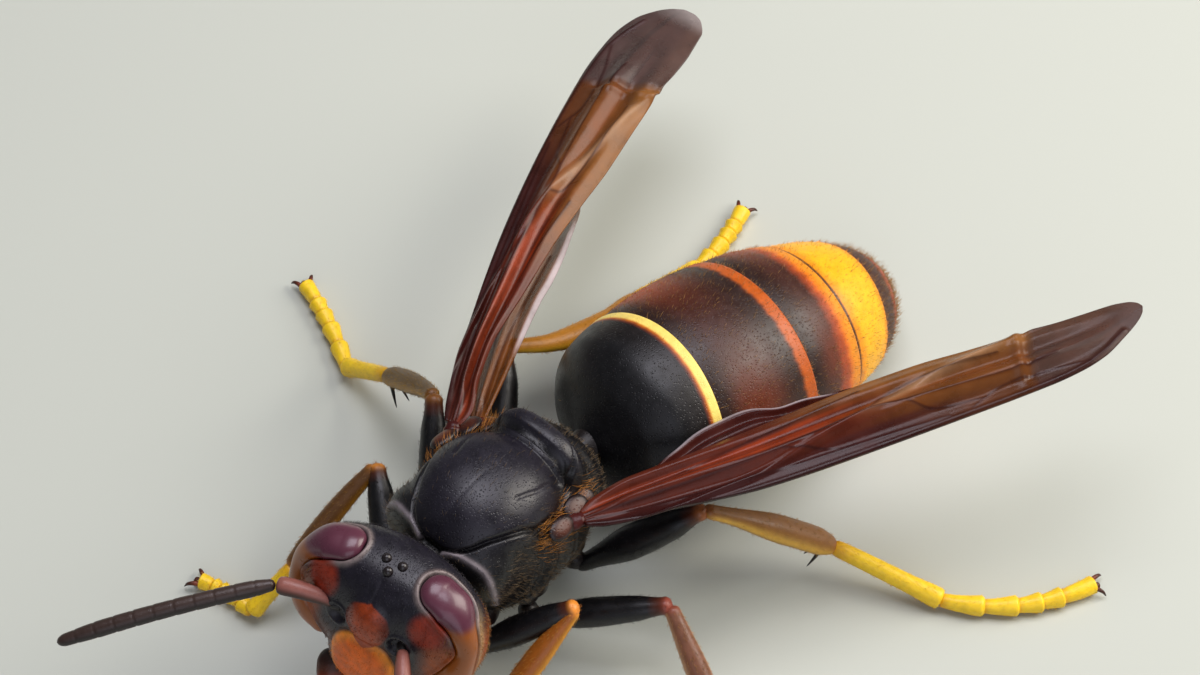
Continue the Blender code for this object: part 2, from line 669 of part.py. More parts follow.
def forewing(name):
    root, tip = FOREWING[name]
    ridges = ((0, 0.1), (2, 0.1), (4, 0.16), (6, 0.1), (8, 0.04))
    bars = ((14, 0, 4), (17, 0, 6), (11, 4, 8))
    side = 1 if name == "left" else -1
    fold = (WING_TILT[name], WING_SHIFT[name], WING_SPREAD[name])
    return wing(in_thorax(root), np.array(tip), side, FOREWING_WIDTH, fold, 24, ridges, bars)


def hindwing(name):
    root, tip = HINDWING[name]
    ridges = ((0, 0.08), (2, 0.08), (5, 0.0))
    side = 1 if name == "left" else -1
    fold = (WING_TILT[name], HINDWING_SHIFT[name], 1.0)
    return wing(in_thorax(root), np.array(tip), side, HINDWING_WIDTH, fold, 13, ridges, ((7, 0, 3),))


def main():
    for obj in list(bpy.data.objects):
        bpy.data.objects.remove(obj)
    finish = materials()
    node("thorax", thorax(), finish["black_shell"])
    node("gaster", gaster(), finish["brown_shell"])
    node("head", head(), finish["black_shell"])
    for side, name in ((1, "left"), (-1, "right")):
        node(f"eye_{name}", eye(side), finish["eye"])
        node(f"mandible_{name}", mandible(side), finish["orange_shell"])
        node(f"antenna_scape_{name}", scape(side), finish["brown_shell"])
        node(f"antenna_flagellum_{name}", flagellum(side), finish["brown_shell"])
        node(f"forewing_{name}", forewing(name), finish["wing"])
        node(f"hindwing_{name}", hindwing(name), finish["wing"])
    for name in LEGS:
        pieces = leg(name)
        node(f"{name}_femur", pieces["femur"], finish["black_shell"])
        node(f"{name}_tibia", pieces["tibia"], finish["brown_shell"])
        node(f"{name}_tarsus", pieces["tarsus"], finish["yellow_leg"])


main()
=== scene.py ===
# %% [markdown]
# # An Asian hornet, life size
#
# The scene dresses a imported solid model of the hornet. Each cell makes one part of it from a formula:
# a surface over a grid of two parameters, or a profile swept along a path. Lengths are written in
# millimetres and turned into metres when a mesh is made. The head faces -Y, the hornet's own left is
# +X, and the floor is z = 0.

# %% Frame
import math

import bpy
import numpy as np
from mathutils import Matrix, Vector


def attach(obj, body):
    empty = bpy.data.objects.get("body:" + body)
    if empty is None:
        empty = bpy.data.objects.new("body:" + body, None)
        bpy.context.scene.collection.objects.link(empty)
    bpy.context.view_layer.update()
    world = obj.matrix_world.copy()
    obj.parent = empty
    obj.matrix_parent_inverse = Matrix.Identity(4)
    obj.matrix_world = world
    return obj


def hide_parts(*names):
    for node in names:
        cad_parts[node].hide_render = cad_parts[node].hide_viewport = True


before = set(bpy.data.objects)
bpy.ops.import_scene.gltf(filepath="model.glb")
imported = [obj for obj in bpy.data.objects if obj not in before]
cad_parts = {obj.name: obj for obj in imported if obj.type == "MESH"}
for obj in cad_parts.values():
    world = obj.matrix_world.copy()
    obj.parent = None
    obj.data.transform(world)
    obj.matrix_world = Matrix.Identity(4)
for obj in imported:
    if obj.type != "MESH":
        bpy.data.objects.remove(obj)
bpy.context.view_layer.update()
print("solids in the frame:", len(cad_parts))

# %% [markdown]
# ## Stance
#
# A hornet's trunk is three stiff capsules: head, thorax and gaster. They could be modelled where they
# stand, but each is easier to shape in a frame of its own, where left mirrors right, and to turn
# afterwards. So each has a pose: degrees about x, y and z, and the place of its own origin. `MIDDLE`
# is the centre of the stance, which is the origin of the room.

# %% Poses of the trunk
MM = 0.001
MIDDLE = (0.689, 2.642, 0.0)
THORAX = ((-6.0, 1.0, 0.0), (0.0, 0.0, 4.97))
HEAD = ((-8.3, 1.6, 9.8), (0.26, -5.3, 5.89))
GASTER = ((-10.4, 0.0, -8.6), (0.0, 3.75, 3.98))
SIDES = (("left", 1), ("right", -1))
DRAWS = np.random.default_rng(11)


def turn(degrees):
    """Rotation matrix Rz Rx Ry: degrees about y are applied first, then x, then z."""
    x, y, z = np.radians(degrees)
    rx = np.array([[1, 0, 0], [0, np.cos(x), -np.sin(x)], [0, np.sin(x), np.cos(x)]])
    ry = np.array([[np.cos(y), 0, np.sin(y)], [0, 1, 0], [-np.sin(y), 0, np.cos(y)]])
    rz = np.array([[np.cos(z), -np.sin(z), 0], [np.sin(z), np.cos(z), 0], [0, 0, 1]])
    return rz @ rx @ ry


def placed(points, pose):
    """Points of a body's own frame, put where the pose says: R p + origin."""
    return np.asarray(points, float) @ turn(pose[0]).T + np.asarray(pose[1], float)


def unit(v):
    """Vectors divided by their own length."""
    v = np.asarray(v, float)
    return v / np.linalg.norm(v, axis=-1, keepdims=True)


def above_floor(points, height=0.0):
    """The same points, with none lower than the given height."""
    return np.maximum(points, (-np.inf, -np.inf, height))


print("head, thorax and gaster stand at heights of", HEAD[1][2], THORAX[1][2], GASTER[1][2], "mm")

# %% [markdown]
# ## Curves, steps and hills
#
# Widths and outlines change smoothly along an insect. They could be curve objects, but a few
# (place, value) pairs and a formula are quick to tune, and with this one they never overshoot. A soft
# step and a soft hill then draw every seam, rim and band on the body.

# %% Curves


def smooth_through(stations, where):
    """A cubic curve through (place, value) pairs whose slope is the harmonic mean of its neighbours'."""
    x, y = np.array(stations, float).T
    step = np.diff(x)
    rise = np.diff(y) / step
    slope = np.zeros_like(y)
    same = rise[:-1] * rise[1:] > 0
    pair = np.where(same, rise[:-1] * rise[1:], 1.0)
    slope[1:-1] = np.where(same, 2.0 * pair / np.where(same, rise[:-1] + rise[1:], 1.0), 0.0)
    slope[0], slope[-1] = rise[0], rise[-1]
    where = np.clip(np.asarray(where, float), x[0], x[-1])
    i = np.clip(np.searchsorted(x, where, side="right") - 1, 0, len(step) - 1)
    t = (where - x[i]) / step[i]
    rise_part = y[i] * (1 + 2 * t) * (1 - t) ** 2 + y[i + 1] * t * t * (3 - 2 * t)
    return rise_part + step[i] * (slope[i] * t * (1 - t) ** 2 - slope[i + 1] * t * t * (1 - t))


def ease(low, high, value):
    """0 below low, 1 above high, and t^2 (3 - 2 t) between."""
    t = np.clip((np.asarray(value, float) - low) / (high - low), 0.0, 1.0)
    return t * t * (3 - 2 * t)


def hill(offset, width):
    """1 where the offset is 0, falling off on both sides as exp(-(offset / width)^2)."""
    return np.exp(-((offset / width) ** 2))


print("half way up, a step gives", float(ease(0, 1, 0.5)))
print("one width off, a hill gives", round(float(hill(1, 1)), 3))

# %% [markdown]
# ## Colours
#
# The hornet is black and red-brown, with a pale line round its first plate, one broad yellow band and
# yellow feet. Markings could be separate materials with hard borders, or a painted image. Here each
# shell carries them as a colour attribute called `tint`, worked out by a formula from the place on
# the body, so that borders are soft and the hair reads the same markings as the skin.
# The tint also carries painted light and shade, which is named where it is drawn.

# %% Colour


def linear(text):
    """Linear RGB of an sRGB hex colour: c / 12.92 when dark, else ((c + 0.055) / 1.055)^2.4."""
    c = np.array([int(text[i : i + 2], 16) for i in (1, 3, 5)]) / 255
    return np.where(c <= 0.04045, c / 12.92, ((c + 0.055) / 1.055) ** 2.4)


INK = linear("#09080b")
PITCH = linear("#170f0e")
CHESTNUT = linear("#4c2110")
RUST = linear("#a03f10")
FLAME = linear("#d2600a")
AMBER = linear("#f6980a")
STRAW = linear("#f9dc70")
LEMON = linear("#ffb90a")
SLATE = linear("#1d1925")
MAROON = linear("#34100e")


def mix(a, b, amount):
    """Colours a turning into b, a (1 - amount) + b amount, with one amount for each point."""
    amount = np.asarray(amount, float)[..., None]
    return a * (1 - amount) + b * amount


def ramp(stops, where):
    """Colour at each place, on straight lines through (place, colour) stops."""
    where = np.asarray(where, float)
    places = [s[0] for s in stops]
    return np.stack([np.interp(where, places, [s[1][k] for s in stops]) for k in range(3)], -1)


print("black of the shell, linear:", INK.round(4), "and yellow of the band:", LEMON.round(3))

# %% [markdown]
# ## Lofts
#
# Every plate and limb of the hornet is a closed form. It could start as a subdivided box or a
# metaball, but then its points land where the tool puts them. A loft is used instead, because
# its points lie on a known grid that any formula can move and tint: a stack of closed rings, with a
# fan of triangles over each end.

# %% Lofts


def lofted(rings):
    """Points, quads and triangles of a closed surface through equal rings."""
    n, m, _ = rings.shape
    points = np.vstack([rings.reshape(-1, 3), rings[0].mean(0), rings[-1].mean(0)])
    i, j = (g.ravel() for g in np.meshgrid(np.arange(n - 1), np.arange(m), indexing="ij"))
    k = (j + 1) % m
    quads = np.stack([i * m + j, i * m + k, (i + 1) * m + k, (i + 1) * m + j], 1)
    j = np.arange(m)
    k = (j + 1) % m
    last = (n - 1) * m
    first_fan = np.stack([np.full(m, n * m), k, j], 1)
    last_fan = np.stack([np.full(m, n * m + 1), last + j, last + k], 1)
    return points, quads, np.vstack([first_fan, last_fan])


def volume_sign(points, quads, triangles):
    """Six times the volume inside, the sum of a . (b x c) over triangles: below zero if inside out."""
    corners = np.vstack([quads[:, [0, 1, 2]], quads[:, [0, 2, 3]], triangles])
    a, b, c = (points[corners[:, i]] for i in range(3))
    return np.einsum("ij,ij->", a, np.cross(b, c))


def shell(rings, tint):
    """A loft with its faces outward and a tint for each point, as (points, quads, triangles, tint)."""
    points, quads, triangles = lofted(rings)
    if volume_sign(points - points.mean(0), quads, triangles) < 0:
        quads, triangles = quads[:, ::-1], triangles[:, ::-1]
    channels = np.shape(tint)[-1]
    tint = np.broadcast_to(tint, (*rings.shape[:2], channels)).reshape(-1, channels)
    return points, quads, triangles, np.vstack([tint, tint[:1], tint[-1:]])


print("a loft of 5 rings of 8 points has", len(lofted(np.zeros((5, 8, 3)))[1]), "quads and 16 triangles")

# %% [markdown]
# ## Objects
#
# Blender can be given a mesh face by face, which is slow for a coat of nearly 49,000 hairs. Here whole
# arrays go in at once with foreach_set. Each object then rides the frame's one body, takes the place
# of the solids that it dresses, and joins the slot of its finish.

# %% Objects


def make(name, shells, material, nodes=(), patches=None):
    """One object from shells in millimetres of the room. A coat also gets its patches, one per point."""
    points, quads, triangles, tints = [], [], [], []
    start = 0
    for p, q, t, c in shells:
        points.append(p)
        quads.append(q + start)
        triangles.append(t + start)
        tints.append(c)
        start += len(p)
    points, quads, triangles, tints = (np.vstack(a) for a in (points, quads, triangles, tints))
    mesh = bpy.data.meshes.new(name)
    mesh.vertices.add(len(points))
    mesh.vertices.foreach_set("co", ((points - MIDDLE) * MM).ravel())
    loops = np.concatenate([quads.ravel(), triangles.ravel()])
    starts = np.concatenate([np.arange(len(quads)) * 4, len(quads) * 4 + np.arange(len(triangles)) * 3])
    mesh.loops.add(len(loops))
    mesh.loops.foreach_set("vertex_index", loops.astype(np.int32))
    mesh.polygons.add(len(starts))
    mesh.polygons.foreach_set("loop_start", starts.astype(np.int32))
    mesh.update(calc_edges=True)
    colours = mesh.color_attributes.new("tint", "FLOAT_COLOR", "POINT")
    solid = tints if tints.shape[1] == 4 else np.hstack([tints, np.ones((len(tints), 1))])
    colours.data.foreach_set("color", solid.ravel())
    if patches is not None:
        layer = mesh.uv_layers.new(name="OFBake")
        layer.data.foreach_set("uv", patches[loops].ravel())
    mesh.shade_smooth()
    mesh.materials.append(material)
    obj = bpy.data.objects.new(name, mesh)
    bpy.context.scene.collection.objects.link(obj)
    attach(obj, "root")
    if nodes:
        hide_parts(*nodes)
    return obj


print("a millimetre of the model is", MM, "m of the room")

# %% [markdown]
# ## Melted masses
#
# The plates of a thorax or a head are fused and run into one another. Boolean unions with bevels
# could join them, but would leave ragged edges. A blended field melts them instead. For part i with
# half sizes h and fullness p, g_i = ((|x/h|^p summed over the axes)^(1/p) - 1) times its smallest
# half size, and the field is -k log(sum of exp(-g_i / k)). The skin is where a ray from inside meets
# field = 0, found by halving, which gives rings for a loft.

# %% Melted masses
HALVINGS = 17


def melted(parts, blend):
    """The blended field of (centre, half sizes, fullness, degrees) parts, below zero inside."""

    def field(points):
        """-k log(sum of exp(-g_i / k)) at each point, with k the blend in millimetres."""
        total = np.zeros(points.shape[:-1])
        for centre, half, fullness, degrees in parts:
            q = (points - np.asarray(centre, float)) @ turn(degrees)
            r = (np.abs(q / np.asarray(half, float)) ** fullness).sum(-1) ** (1 / fullness)
            total += np.exp(np.clip((1 - r) * min(half) / blend, -60, 60))
        return -blend * np.log(total + 1e-30)

    return field


def slope_of(field, points, reach=0.02):
    """Outward unit normals: the field's difference across a short step along each axis."""
    steps = reach * np.eye(3)
    return unit(np.stack([field(points + s) - field(points - s) for s in steps], -1))


def cast_skin(field, centre, axis, spread, rows, columns, far=5.0):
    """Rings where rays fanned about an axis leave the field. Origins slide along the axis."""
    axis = unit(axis)
    one = unit(np.cross(axis, (0.0, 0.0, 1.0)) if abs(axis[2]) < 0.9 else np.array((1.0, 0.0, 0.0)))
    two = np.cross(axis, one)
    lean = np.linspace(-math.pi / 2, math.pi / 2, rows + 2)[1:-1][:, None, None]
    angle = (np.arange(columns) * 2 * math.pi / columns)[None, :, None]
    ways = np.cos(lean) * (np.cos(angle) * one + np.sin(angle) * two) + np.sin(lean) * axis
    origins = np.asarray(centre, float) + spread * np.sin(lean) * axis
    near, away = np.zeros(ways.shape[:2]), np.full(ways.shape[:2], far)
    for _ in range(HALVINGS):
        middle = (near + away) / 2
        inside = field(origins + middle[..., None] * ways) < 0
        near, away = np.where(inside, middle, near), np.where(inside, away, middle)
    return origins + near[..., None] * ways, ways


print("a skin is found to within", round(5.0 / 2**HALVINGS * 1000, 3), "thousandths of a millimetre")

# %% [markdown]
# ## Paths
#
# Legs, feelers, jaws and veins are long and thin. Curve objects with a bevel could draw them, but
# their widths and ends are hard to control. So each starts as a smooth path of evenly spaced points,
# with two ways at each point, to the side and upward, that later carry a ring round it.

# %% Paths


def distance_to(points, line):
    """Distance from each point to a polyline: the least over its straight stretches."""
    line = np.asarray(line, float)
    best = np.full(points.shape[:-1], np.inf)
    for a, b in zip(line[:-1], line[1:]):
        along = b - a
        t = np.clip(((points - a) @ along) / (along @ along), 0, 1)
        best = np.minimum(best, np.linalg.norm(points - a - t[..., None] * along, axis=-1))
    return best


def spline(points, count):
    """Points spaced evenly along a Catmull-Rom curve through the given ones, and its length."""
    points = np.asarray(points, float)
    run = np.concatenate([[0.0], np.cumsum(np.linalg.norm(np.diff(points, axis=0), axis=1))])
    fine = np.linspace(0, run[-1], 400)
    padded = np.vstack([2 * points[0] - points[1], points, 2 * points[-1] - points[-2]])
    i = np.clip(np.searchsorted(run, fine, side="right") - 1, 0, len(points) - 2)
    t = ((fine - run[i]) / (run[i + 1] - run[i]))[:, None]
    a, b, c, d = (padded[i + k] for k in range(4))
    curve = 0.5 * (2 * b + (c - a) * t + (2 * a - 5 * b + 4 * c - d) * t**2 + (3 * b - a - 3 * c + d) * t**3)
    length = np.concatenate([[0.0], np.cumsum(np.linalg.norm(np.diff(curve, axis=0), axis=1))])
    even = np.linspace(0, length[-1], count)
    return np.stack([np.interp(even, length, curve[:, k]) for k in range(3)], 1), length[-1]


def on_skin(field, line, count=30):
    """A smooth line through the given points, moved by field times slope until field = 0."""
    places, _ = spline(line, count)
    for _ in range(8):
        places = places - field(places)[:, None] * slope_of(field, places)
    return places


def frames_along(path):
    """Side = tangent x upward, and above = side x tangent, at each point of a path."""
    tangent = unit(np.gradient(path, axis=0))
    side = np.cross(tangent, (0.0, 0.0, 1.0))
    side = unit(np.where(np.linalg.norm(side, axis=1, keepdims=True) < 1e-3, (1.0, 0.0, 0.0), side))
    return side, np.cross(side, tangent)


_, run = spline([(0, 0, 0), (1, 0, 0), (3, 0, 0)], 9)
print("a straight path of 3 mm measures", round(float(run), 3), "mm")

# %% [markdown]
# ## Bars
#
# A limb is a tube of hard shell, widest where its muscle is and rounded at its ends. A cylinder could
# be bent and scaled by hand for each one. A bar is quicker and more exact: rings round a path, with
# their radius read from a curve of widths, and ends that close like a quarter circle.

# %% Bars
TIP_RADIUS = 0.004  # an end keeps this radius, so that its fan of triangles isn't folded


def swept(curve, radius, columns, flat=1.0):
    """Rings c + r (cos a side + flat sin a above) round a curve, with the angle a of each point."""
    side, above = frames_along(curve)
    angle = (np.arange(columns) * 2 * math.pi / columns)[None, :, None]
    ring = np.cos(angle) * side[:, None, :] + flat * np.sin(angle) * above[:, None, :]
    rings = curve[:, None, :] + ring * radius[:, None, None]
    return rings, np.broadcast_to(angle[..., 0], rings.shape[:2])


def limb_rings(path, widths, rows, columns, flat=1.0, blunt=None):
    """Rings of a bar along a path; widths are (share of length, radius) pairs. The ends are quarter
    circles, r sqrt(1 - (1 - t)^2), over their own radius or over `blunt` millimetres."""
    curve, length = spline(path, rows)
    share = np.linspace(0, 1, rows)
    radius = smooth_through(widths, share)
    for end, distance in ((0, share * length), (-1, (1 - share) * length)):
        reach = np.clip(distance / (blunt or radius[end]), 0, 1)
        rounded = radius[end] * np.sqrt(1 - (1 - reach) ** 2) + TIP_RADIUS
        radius = np.where(reach < 1, np.minimum(radius, rounded), radius)
    return swept(curve, radius, columns, flat)[0]


def limb(path, widths, tint, rows=36, columns=18, flat=1.0):
    """A closed bar along a path. The tint is one colour, or (share of length, colour) stops."""
    rings = limb_rings(path, widths, rows, columns, flat)
    if isinstance(tint, (list, tuple)):
        tint = ramp(tint, np.linspace(0, 1, rows))[:, None, :]
    return shell(rings, tint)


def round_end(distance, reach):
    """1 beyond the reach, falling like a quarter circle, sqrt(1 - (1 - t)^2), at the end of a bar."""
    return np.sqrt(np.clip(1 - (1 - np.clip(distance / reach, 0, 1)) ** 2, 0.02, 1))


print("half way along its round end a bar has", round(float(round_end(0.5, 1.0)), 3), "of its radius")

# %% [markdown]
# ## Nodes
#
# A material is a small network of nodes, which could be drawn by hand in the node editor. In a
# script, one function that adds a node, sets its own values and fills its sockets keeps each finish
# down to a list of what it does.

# %% Nodes


def add(tree, kind, feeds=(), **settings):
    """Adds a node. Settings are its own values, and feeds fill its sockets by a value or an output."""
    made = tree.nodes.new(kind)
    for key, value in settings.items():
        setattr(made, key, value)
    for key, value in dict(feeds).items():
        if isinstance(value, bpy.types.NodeSocket):
            tree.links.new(value, made.inputs[key])
        else:
            made.inputs[key].default_value = value
    return made


print("nodes are added by one function:", add.__name__)

# %% [markdown]
# ## Shell finish
#
# Insect shell is chitin, hardened in layers and waxed on top, with an index of about 1.56. A plain
# gloss could stand for it, but the eye sees more: colour clouded over patches, a gloss that changes
# with them, and tiny pits where hairs root. All three are worked out from the place on the piece, so
# no image is needed. Pattern scales are one over the drawn size in metres. Real pits are too fine to
# show, so they are drawn 0.06 to 0.1 mm apart. The facets of the eyes, about 0.02 mm wide, are drawn
# at 0.03 mm for the same reason.

# %% Shell finish
CHITIN = 1.56


def chitin(name, roughness, patch_mm, shade, pit_mm, pit_depth, coat=0.0, shine=0.38):
    """Shell material: tint times a cloud of patches, with pits of one size pressed in."""
    material = bpy.data.materials.new(name)
    material.use_nodes = True
    tree = material.node_tree
    shader = tree.nodes["Principled BSDF"]
    place = add(tree, "ShaderNodeTexCoord").outputs["Object"]
    tint = add(tree, "ShaderNodeAttribute", attribute_name="tint").outputs["Color"]
    cloud = add(tree, "ShaderNodeTexNoise", {"Vector": place, "Scale": 1 / (patch_mm * MM), "Detail": 5.0})
    low, high = shade
    patches = {"Value": cloud.outputs["Fac"], "From Min": 0.3, "From Max": 0.7}
    depth = add(tree, "ShaderNodeMapRange", {**patches, "To Min": low, "To Max": high})
    colour = add(tree, "ShaderNodeVectorMath", {0: tint, 1: (1.0, 1.0, 1.0)}, operation="MULTIPLY")
    spread = add(tree, "ShaderNodeCombineXYZ", {k: depth.outputs["Result"] for k in range(3)})
    tree.links.new(spread.outputs["Vector"], colour.inputs[1])
    tree.links.new(colour.outputs["Vector"], shader.inputs["Base Color"])
    dull = {"To Min": roughness * 0.85, "To Max": roughness * 1.2}
    gloss = add(tree, "ShaderNodeMapRange", {**patches, **dull})
    tree.links.new(gloss.outputs["Result"], shader.inputs["Roughness"])
    pits = add(tree, "ShaderNodeTexVoronoi", {"Vector": place, "Scale": 1 / (pit_mm * MM)})
    wells = {"Value": pits.outputs["Distance"], "From Min": 0.0, "From Max": 0.35}
    height = add(tree, "ShaderNodeMapRange", wells).outputs["Result"]
    bump = add(tree, "ShaderNodeBump", {"Height": height, "Distance": pit_depth * MM, "Strength": 1.0})
    tree.links.new(bump.outputs["Normal"], shader.inputs["Normal"])
    shader.inputs["IOR"].default_value = CHITIN
    shader.inputs["Coat Weight"].default_value = coat
    shader.inputs["Coat Roughness"].default_value = 0.12
    shader.inputs["Specular IOR Level"].default_value = shine
    return material


# Thick shell of the thorax: satin and clouded, so that lamps spread into wide, soft, uneven lights.
BODY_CHITIN = chitin("body_chitin", 0.37, 0.5, (0.75, 1.3), 0.09, 0.009)
# Waxy plates of the gaster: a little duller and hardly clouded, so that the bands stay clean.
GASTER_CHITIN = chitin("gaster_chitin", 0.4, 0.35, (0.86, 1.12), 0.1, 0.009)
# Shell of the head: finer patches and pits, which give the face its grain.
FACE_CHITIN = chitin("face_chitin", 0.36, 0.3, (0.75, 1.25), 0.09, 0.008)
# Thin shell of legs and feelers: fine pits and little clouding, so that they look smooth and slim.
LEG_CHITIN = chitin("leg_chitin", 0.38, 0.25, (0.88, 1.1), 0.06, 0.005)
# Clear lenses: smoother, under a thin clear layer, so that lamps show as small sharp glints.
LENS_CHITIN = chitin("lens_chitin", 0.3, 0.6, (0.9, 1.1), 0.03, 0.001, coat=0.2, shine=0.45)
FINISHES = (BODY_CHITIN, GASTER_CHITIN, FACE_CHITIN, LEG_CHITIN, LENS_CHITIN)
print("shell finishes:", ", ".join(finish.name for finish in FINISHES))

# %% [markdown]
# ## Thorax
#
# The thorax is the box that carries wings and legs: a collar, the great domed scutum, the scutellum
# and a strip behind it, and the sloping rear. Its plates could be separate shells, but the real ones
# are fused, with only sutures between them. So its masses are melted into one skin, and sutures are
# grooves: the skin sinks by depth * exp(-(distance / width)^2) from each line.

# %% Masses of the thorax
THORAX_PARTS = [
    ((0, -0.85, 1.0), (2.25, 2.35, 1.9), 2.25, (0, 0, 0)),
    ((0, -2.3, 0.5), (2.42, 1.2, 1.55), 2.3, (0, 0, 0)),
    ((0, 1.72, 1.2), (1.75, 0.68, 1.5), 2.5, (0, 0, 0)),
    ((0, 2.3, 0.7), (1.6, 0.45, 1.2), 2.4, (0, 0, 0)),
    ((0, 2.55, -0.35), (1.95, 1.2, 1.6), 2.2, (0, 0, 0)),
    ((0, -0.2, -0.35), (2.6, 3.0, 2.3), 2.4, (0, 0, 0)),
    ((0, 1.2, -0.7), (2.35, 1.9, 1.7), 2.3, (0, 0, 0)),
    ((0, -3.1, 0.35), (0.75, 0.8, 0.75), 2.0, (0, 0, 0)),
    ((0, 3.0, -0.8), (0.8, 0.9, 0.7), 2.0, (0, 0, 0)),
]
SCUTUM = (  # place along y and half width of the great plate of the back
    (-3.3, 0.3), (-3.14, 0.8), (-2.86, 1.14), (-2.5, 1.36), (-2.0, 1.64), (-1.34, 1.9), (-0.55, 2.1),
    (0.1, 2.06), (0.98, 1.7), (1.36, 1.5),
)
SCUTELLUM = ((1.4, 1.5), (1.7, 1.42), (2.0, 1.1), (2.14, 0.7))
BACK_PLATES = ((SCUTUM, 1.34), (SCUTELLUM, 2.14))  # outline and place of the rear edge
SIDE_SUTURE = ((0, -0.45, 1.75), (0, -0.72, 0.87), (0, -0.95, 0.1), (0, -1.25, -0.6), (0, -1.7, -1.5))
SUTURES = (  # polyline on the left side, depth and width; "top" lines are laid on from above
    ("top", ((0.0, -3.1, 0), (0.0, -0.9, 0)), 0.015, 0.04),
    ("top", ((1.26, -0.9, 0), (1.45, -0.1, 0), (1.4, 1.0, 0)), 0.05, 0.055),
    ("side", SIDE_SUTURE, 0.13, 0.07),
    ("side", ((0, -0.1, 1.1), (0, -0.15, 0.2), (0, -0.3, -0.7), (0, -0.5, -1.6)), 0.08, 0.06),
    ("side", ((0, 0.95, 1.1), (0, 0.9, -0.3), (0, 0.8, -1.5)), 0.1, 0.07),
    ("top", ((0, 2.66, 0), (0.9, 2.62, 0), (1.6, 2.45, 0)), 0.12, 0.07),
    ("top", ((0, 2.7, 0), (0, 3.8, 0)), 0.08, 0.09),
)
COLLAR_LINE = (
    (0.4, -3.42, 1.35), (1.0, -3.2, 1.6), (1.95, -2.96, 1.33), (2.25, -2.75, 0.3), (2.15, -2.4, -0.9),
)
THORAX_FIELD = melted(THORAX_PARTS, 0.07)
COLLAR_RIM = on_skin(THORAX_FIELD, COLLAR_LINE)
print("thorax:", len(THORAX_PARTS), "masses and", len(SUTURES), "sutures")

# %% [markdown]
# ## Skin and markings of the thorax
#
# The two plates of the back stand a little proud of the rest, in a groove darkened by painted shade, and the
# collar has a raised rim with a painted pale highlight. Sculpting could add these by hand. A formula of the
# distance to each line does it evenly on both sides, and the same distances draw the colours, with a painted
# sheen that lightens the back.

# %% Skin of the thorax


def mirrored(points):
    """The same points on the left side of the body: |x|, y, z."""
    return np.abs(points * (1, 0, 0)) + points * (0, 1, 1)


def plate_depth(local, outline, rear):
    """How far inside the outline of a plate of the back a point lies, below zero outside it."""
    across = smooth_through(outline, local[..., 1]) - np.abs(local[..., 0])
    depth = np.minimum(across * 0.85, np.minimum(local[..., 1] - outline[0][0], rear - local[..., 1]))
    return np.where(local[..., 2] > 0.9, depth, -1.0)


def thorax_skin(rows, columns):
    """The melted skin, raised by a hill at the rim and on the plates, and sunk along the sutures."""
    rings, ways = cast_skin(THORAX_FIELD, (0, -0.1, -0.1), (0, 1, 0), 2.0, rows, columns)
    left = mirrored(rings)
    rise = 0.06 * hill(distance_to(left, COLLAR_RIM), 0.09)
    for view, line, depth, width in SUTURES:
        flat = np.array((1, 1, 0) if view == "top" else (0, 1, 1))
        seen = rings[..., 2] > 0.4 if view == "top" else left[..., 0] > 1.4
        rise = rise - seen * depth * hill(distance_to(left * flat, line), width)
    for outline, rear in BACK_PLATES:
        inside = plate_depth(rings, outline, rear)
        rise = rise + 0.06 * ease(-0.03, 0.08, inside) - 0.2 * hill(inside + 0.05, 0.05)
    return rings + ways * rise[..., None]


def thorax_tint(local):
    """Black, with a painted sheen that lightens the back, browner beside the wing roots, a painted pale
    highlight on the collar's rim, and painted shade in the seams round the plates.
    """
    # Painted sheen: the back grows lighter towards slate with height, where the lamps fall on the dome.
    tint = mix(INK, SLATE, 0.7 * ease(1.2, 2.6, local[..., 2]))
    wings = hill(distance_to(mirrored(local), [(2.5, 0.2, 1.3), (2.4, 1.4, 0.9)]), 0.5)
    tint = mix(tint, CHESTNUT, 0.6 * wings)
    # Painted highlight: a pale line along the collar's raised rim.
    rim = hill(distance_to(mirrored(local), COLLAR_RIM), 0.1)
    tint = mix(tint, linear("#a89ca0"), 0.85 * rim)
    # Painted shade: the grooves round the two plates of the back are darkened.
    for outline, rear in BACK_PLATES:
        tint = mix(tint, INK * 0.3, hill(plate_depth(local, outline, rear) + 0.05, 0.06))
    return tint


thorax_rings = thorax_skin(264, 326)
thorax_colours = thorax_tint(thorax_rings)
thorax_shells = [shell(placed(thorax_rings, THORAX), thorax_colours)]
print("thorax skin:", thorax_rings.shape[0], "rings of", thorax_rings.shape[1], "points")

# %% [markdown]
# ## Wing-root plates and coxae
#
# A small scale, the tegula, covers the root of each fore wing, and two plates lie behind it. Below,
# six stout coxae carry the legs. Each could be part of the melted skin, but the real ones are loose
# plates and joints with a gap round them, so they are shells of their own, set into the skin.

# %% Wing-root plates and coxae
TEGULA = ((2.5, 0.0, 1.42), (0.34, 0.52, 0.16), 34.0)  # centre, half sizes and lean in degrees
SCLERITES = (((2.3, 0.95, 1.4), (0.4, 0.5, 0.12)), ((2.1, 1.62, 1.02), (0.36, 0.42, 0.12)))
SCLERITE_LEAN = 30.0
COXA_ROOT = {"front": (0.95, -1.95, -1.3), "mid": (1.2, -0.1, -1.5), "hind": (1.05, 1.55, -1.4)}
COXA_END = {"front": (1.5, -2.65, -2.65), "mid": (1.9, -0.4, -2.9), "hind": (1.7, 2.0, -2.8)}
COXA_WIDTHS = ((0, 0.85), (0.5, 0.8), (0.9, 0.55), (1, 0.45))


def pebble(centre, half, side, lean, tint, rows=34, columns=40):
    """A small rounded plate of the thorax, leaning outward by lean degrees, dark at its edge."""
    mass = melted([((0, 0, 0), half, 2.2, (0, 0, 0))], 0.05)
    rings, _ = cast_skin(mass, (0, 0, 0), (0, 1, 0), half[1] * 0.4, rows, columns, far=2.0)
    edge = ease(0.35, 0.95, np.hypot(rings[..., 0] / half[0], rings[..., 1] / half[1]))
    rings = rings @ turn((0, side * lean, 0)).T + np.array(centre) * (side, 1, 1)
    return shell(placed(rings, THORAX), mix(tint, INK, 0.9 * edge))


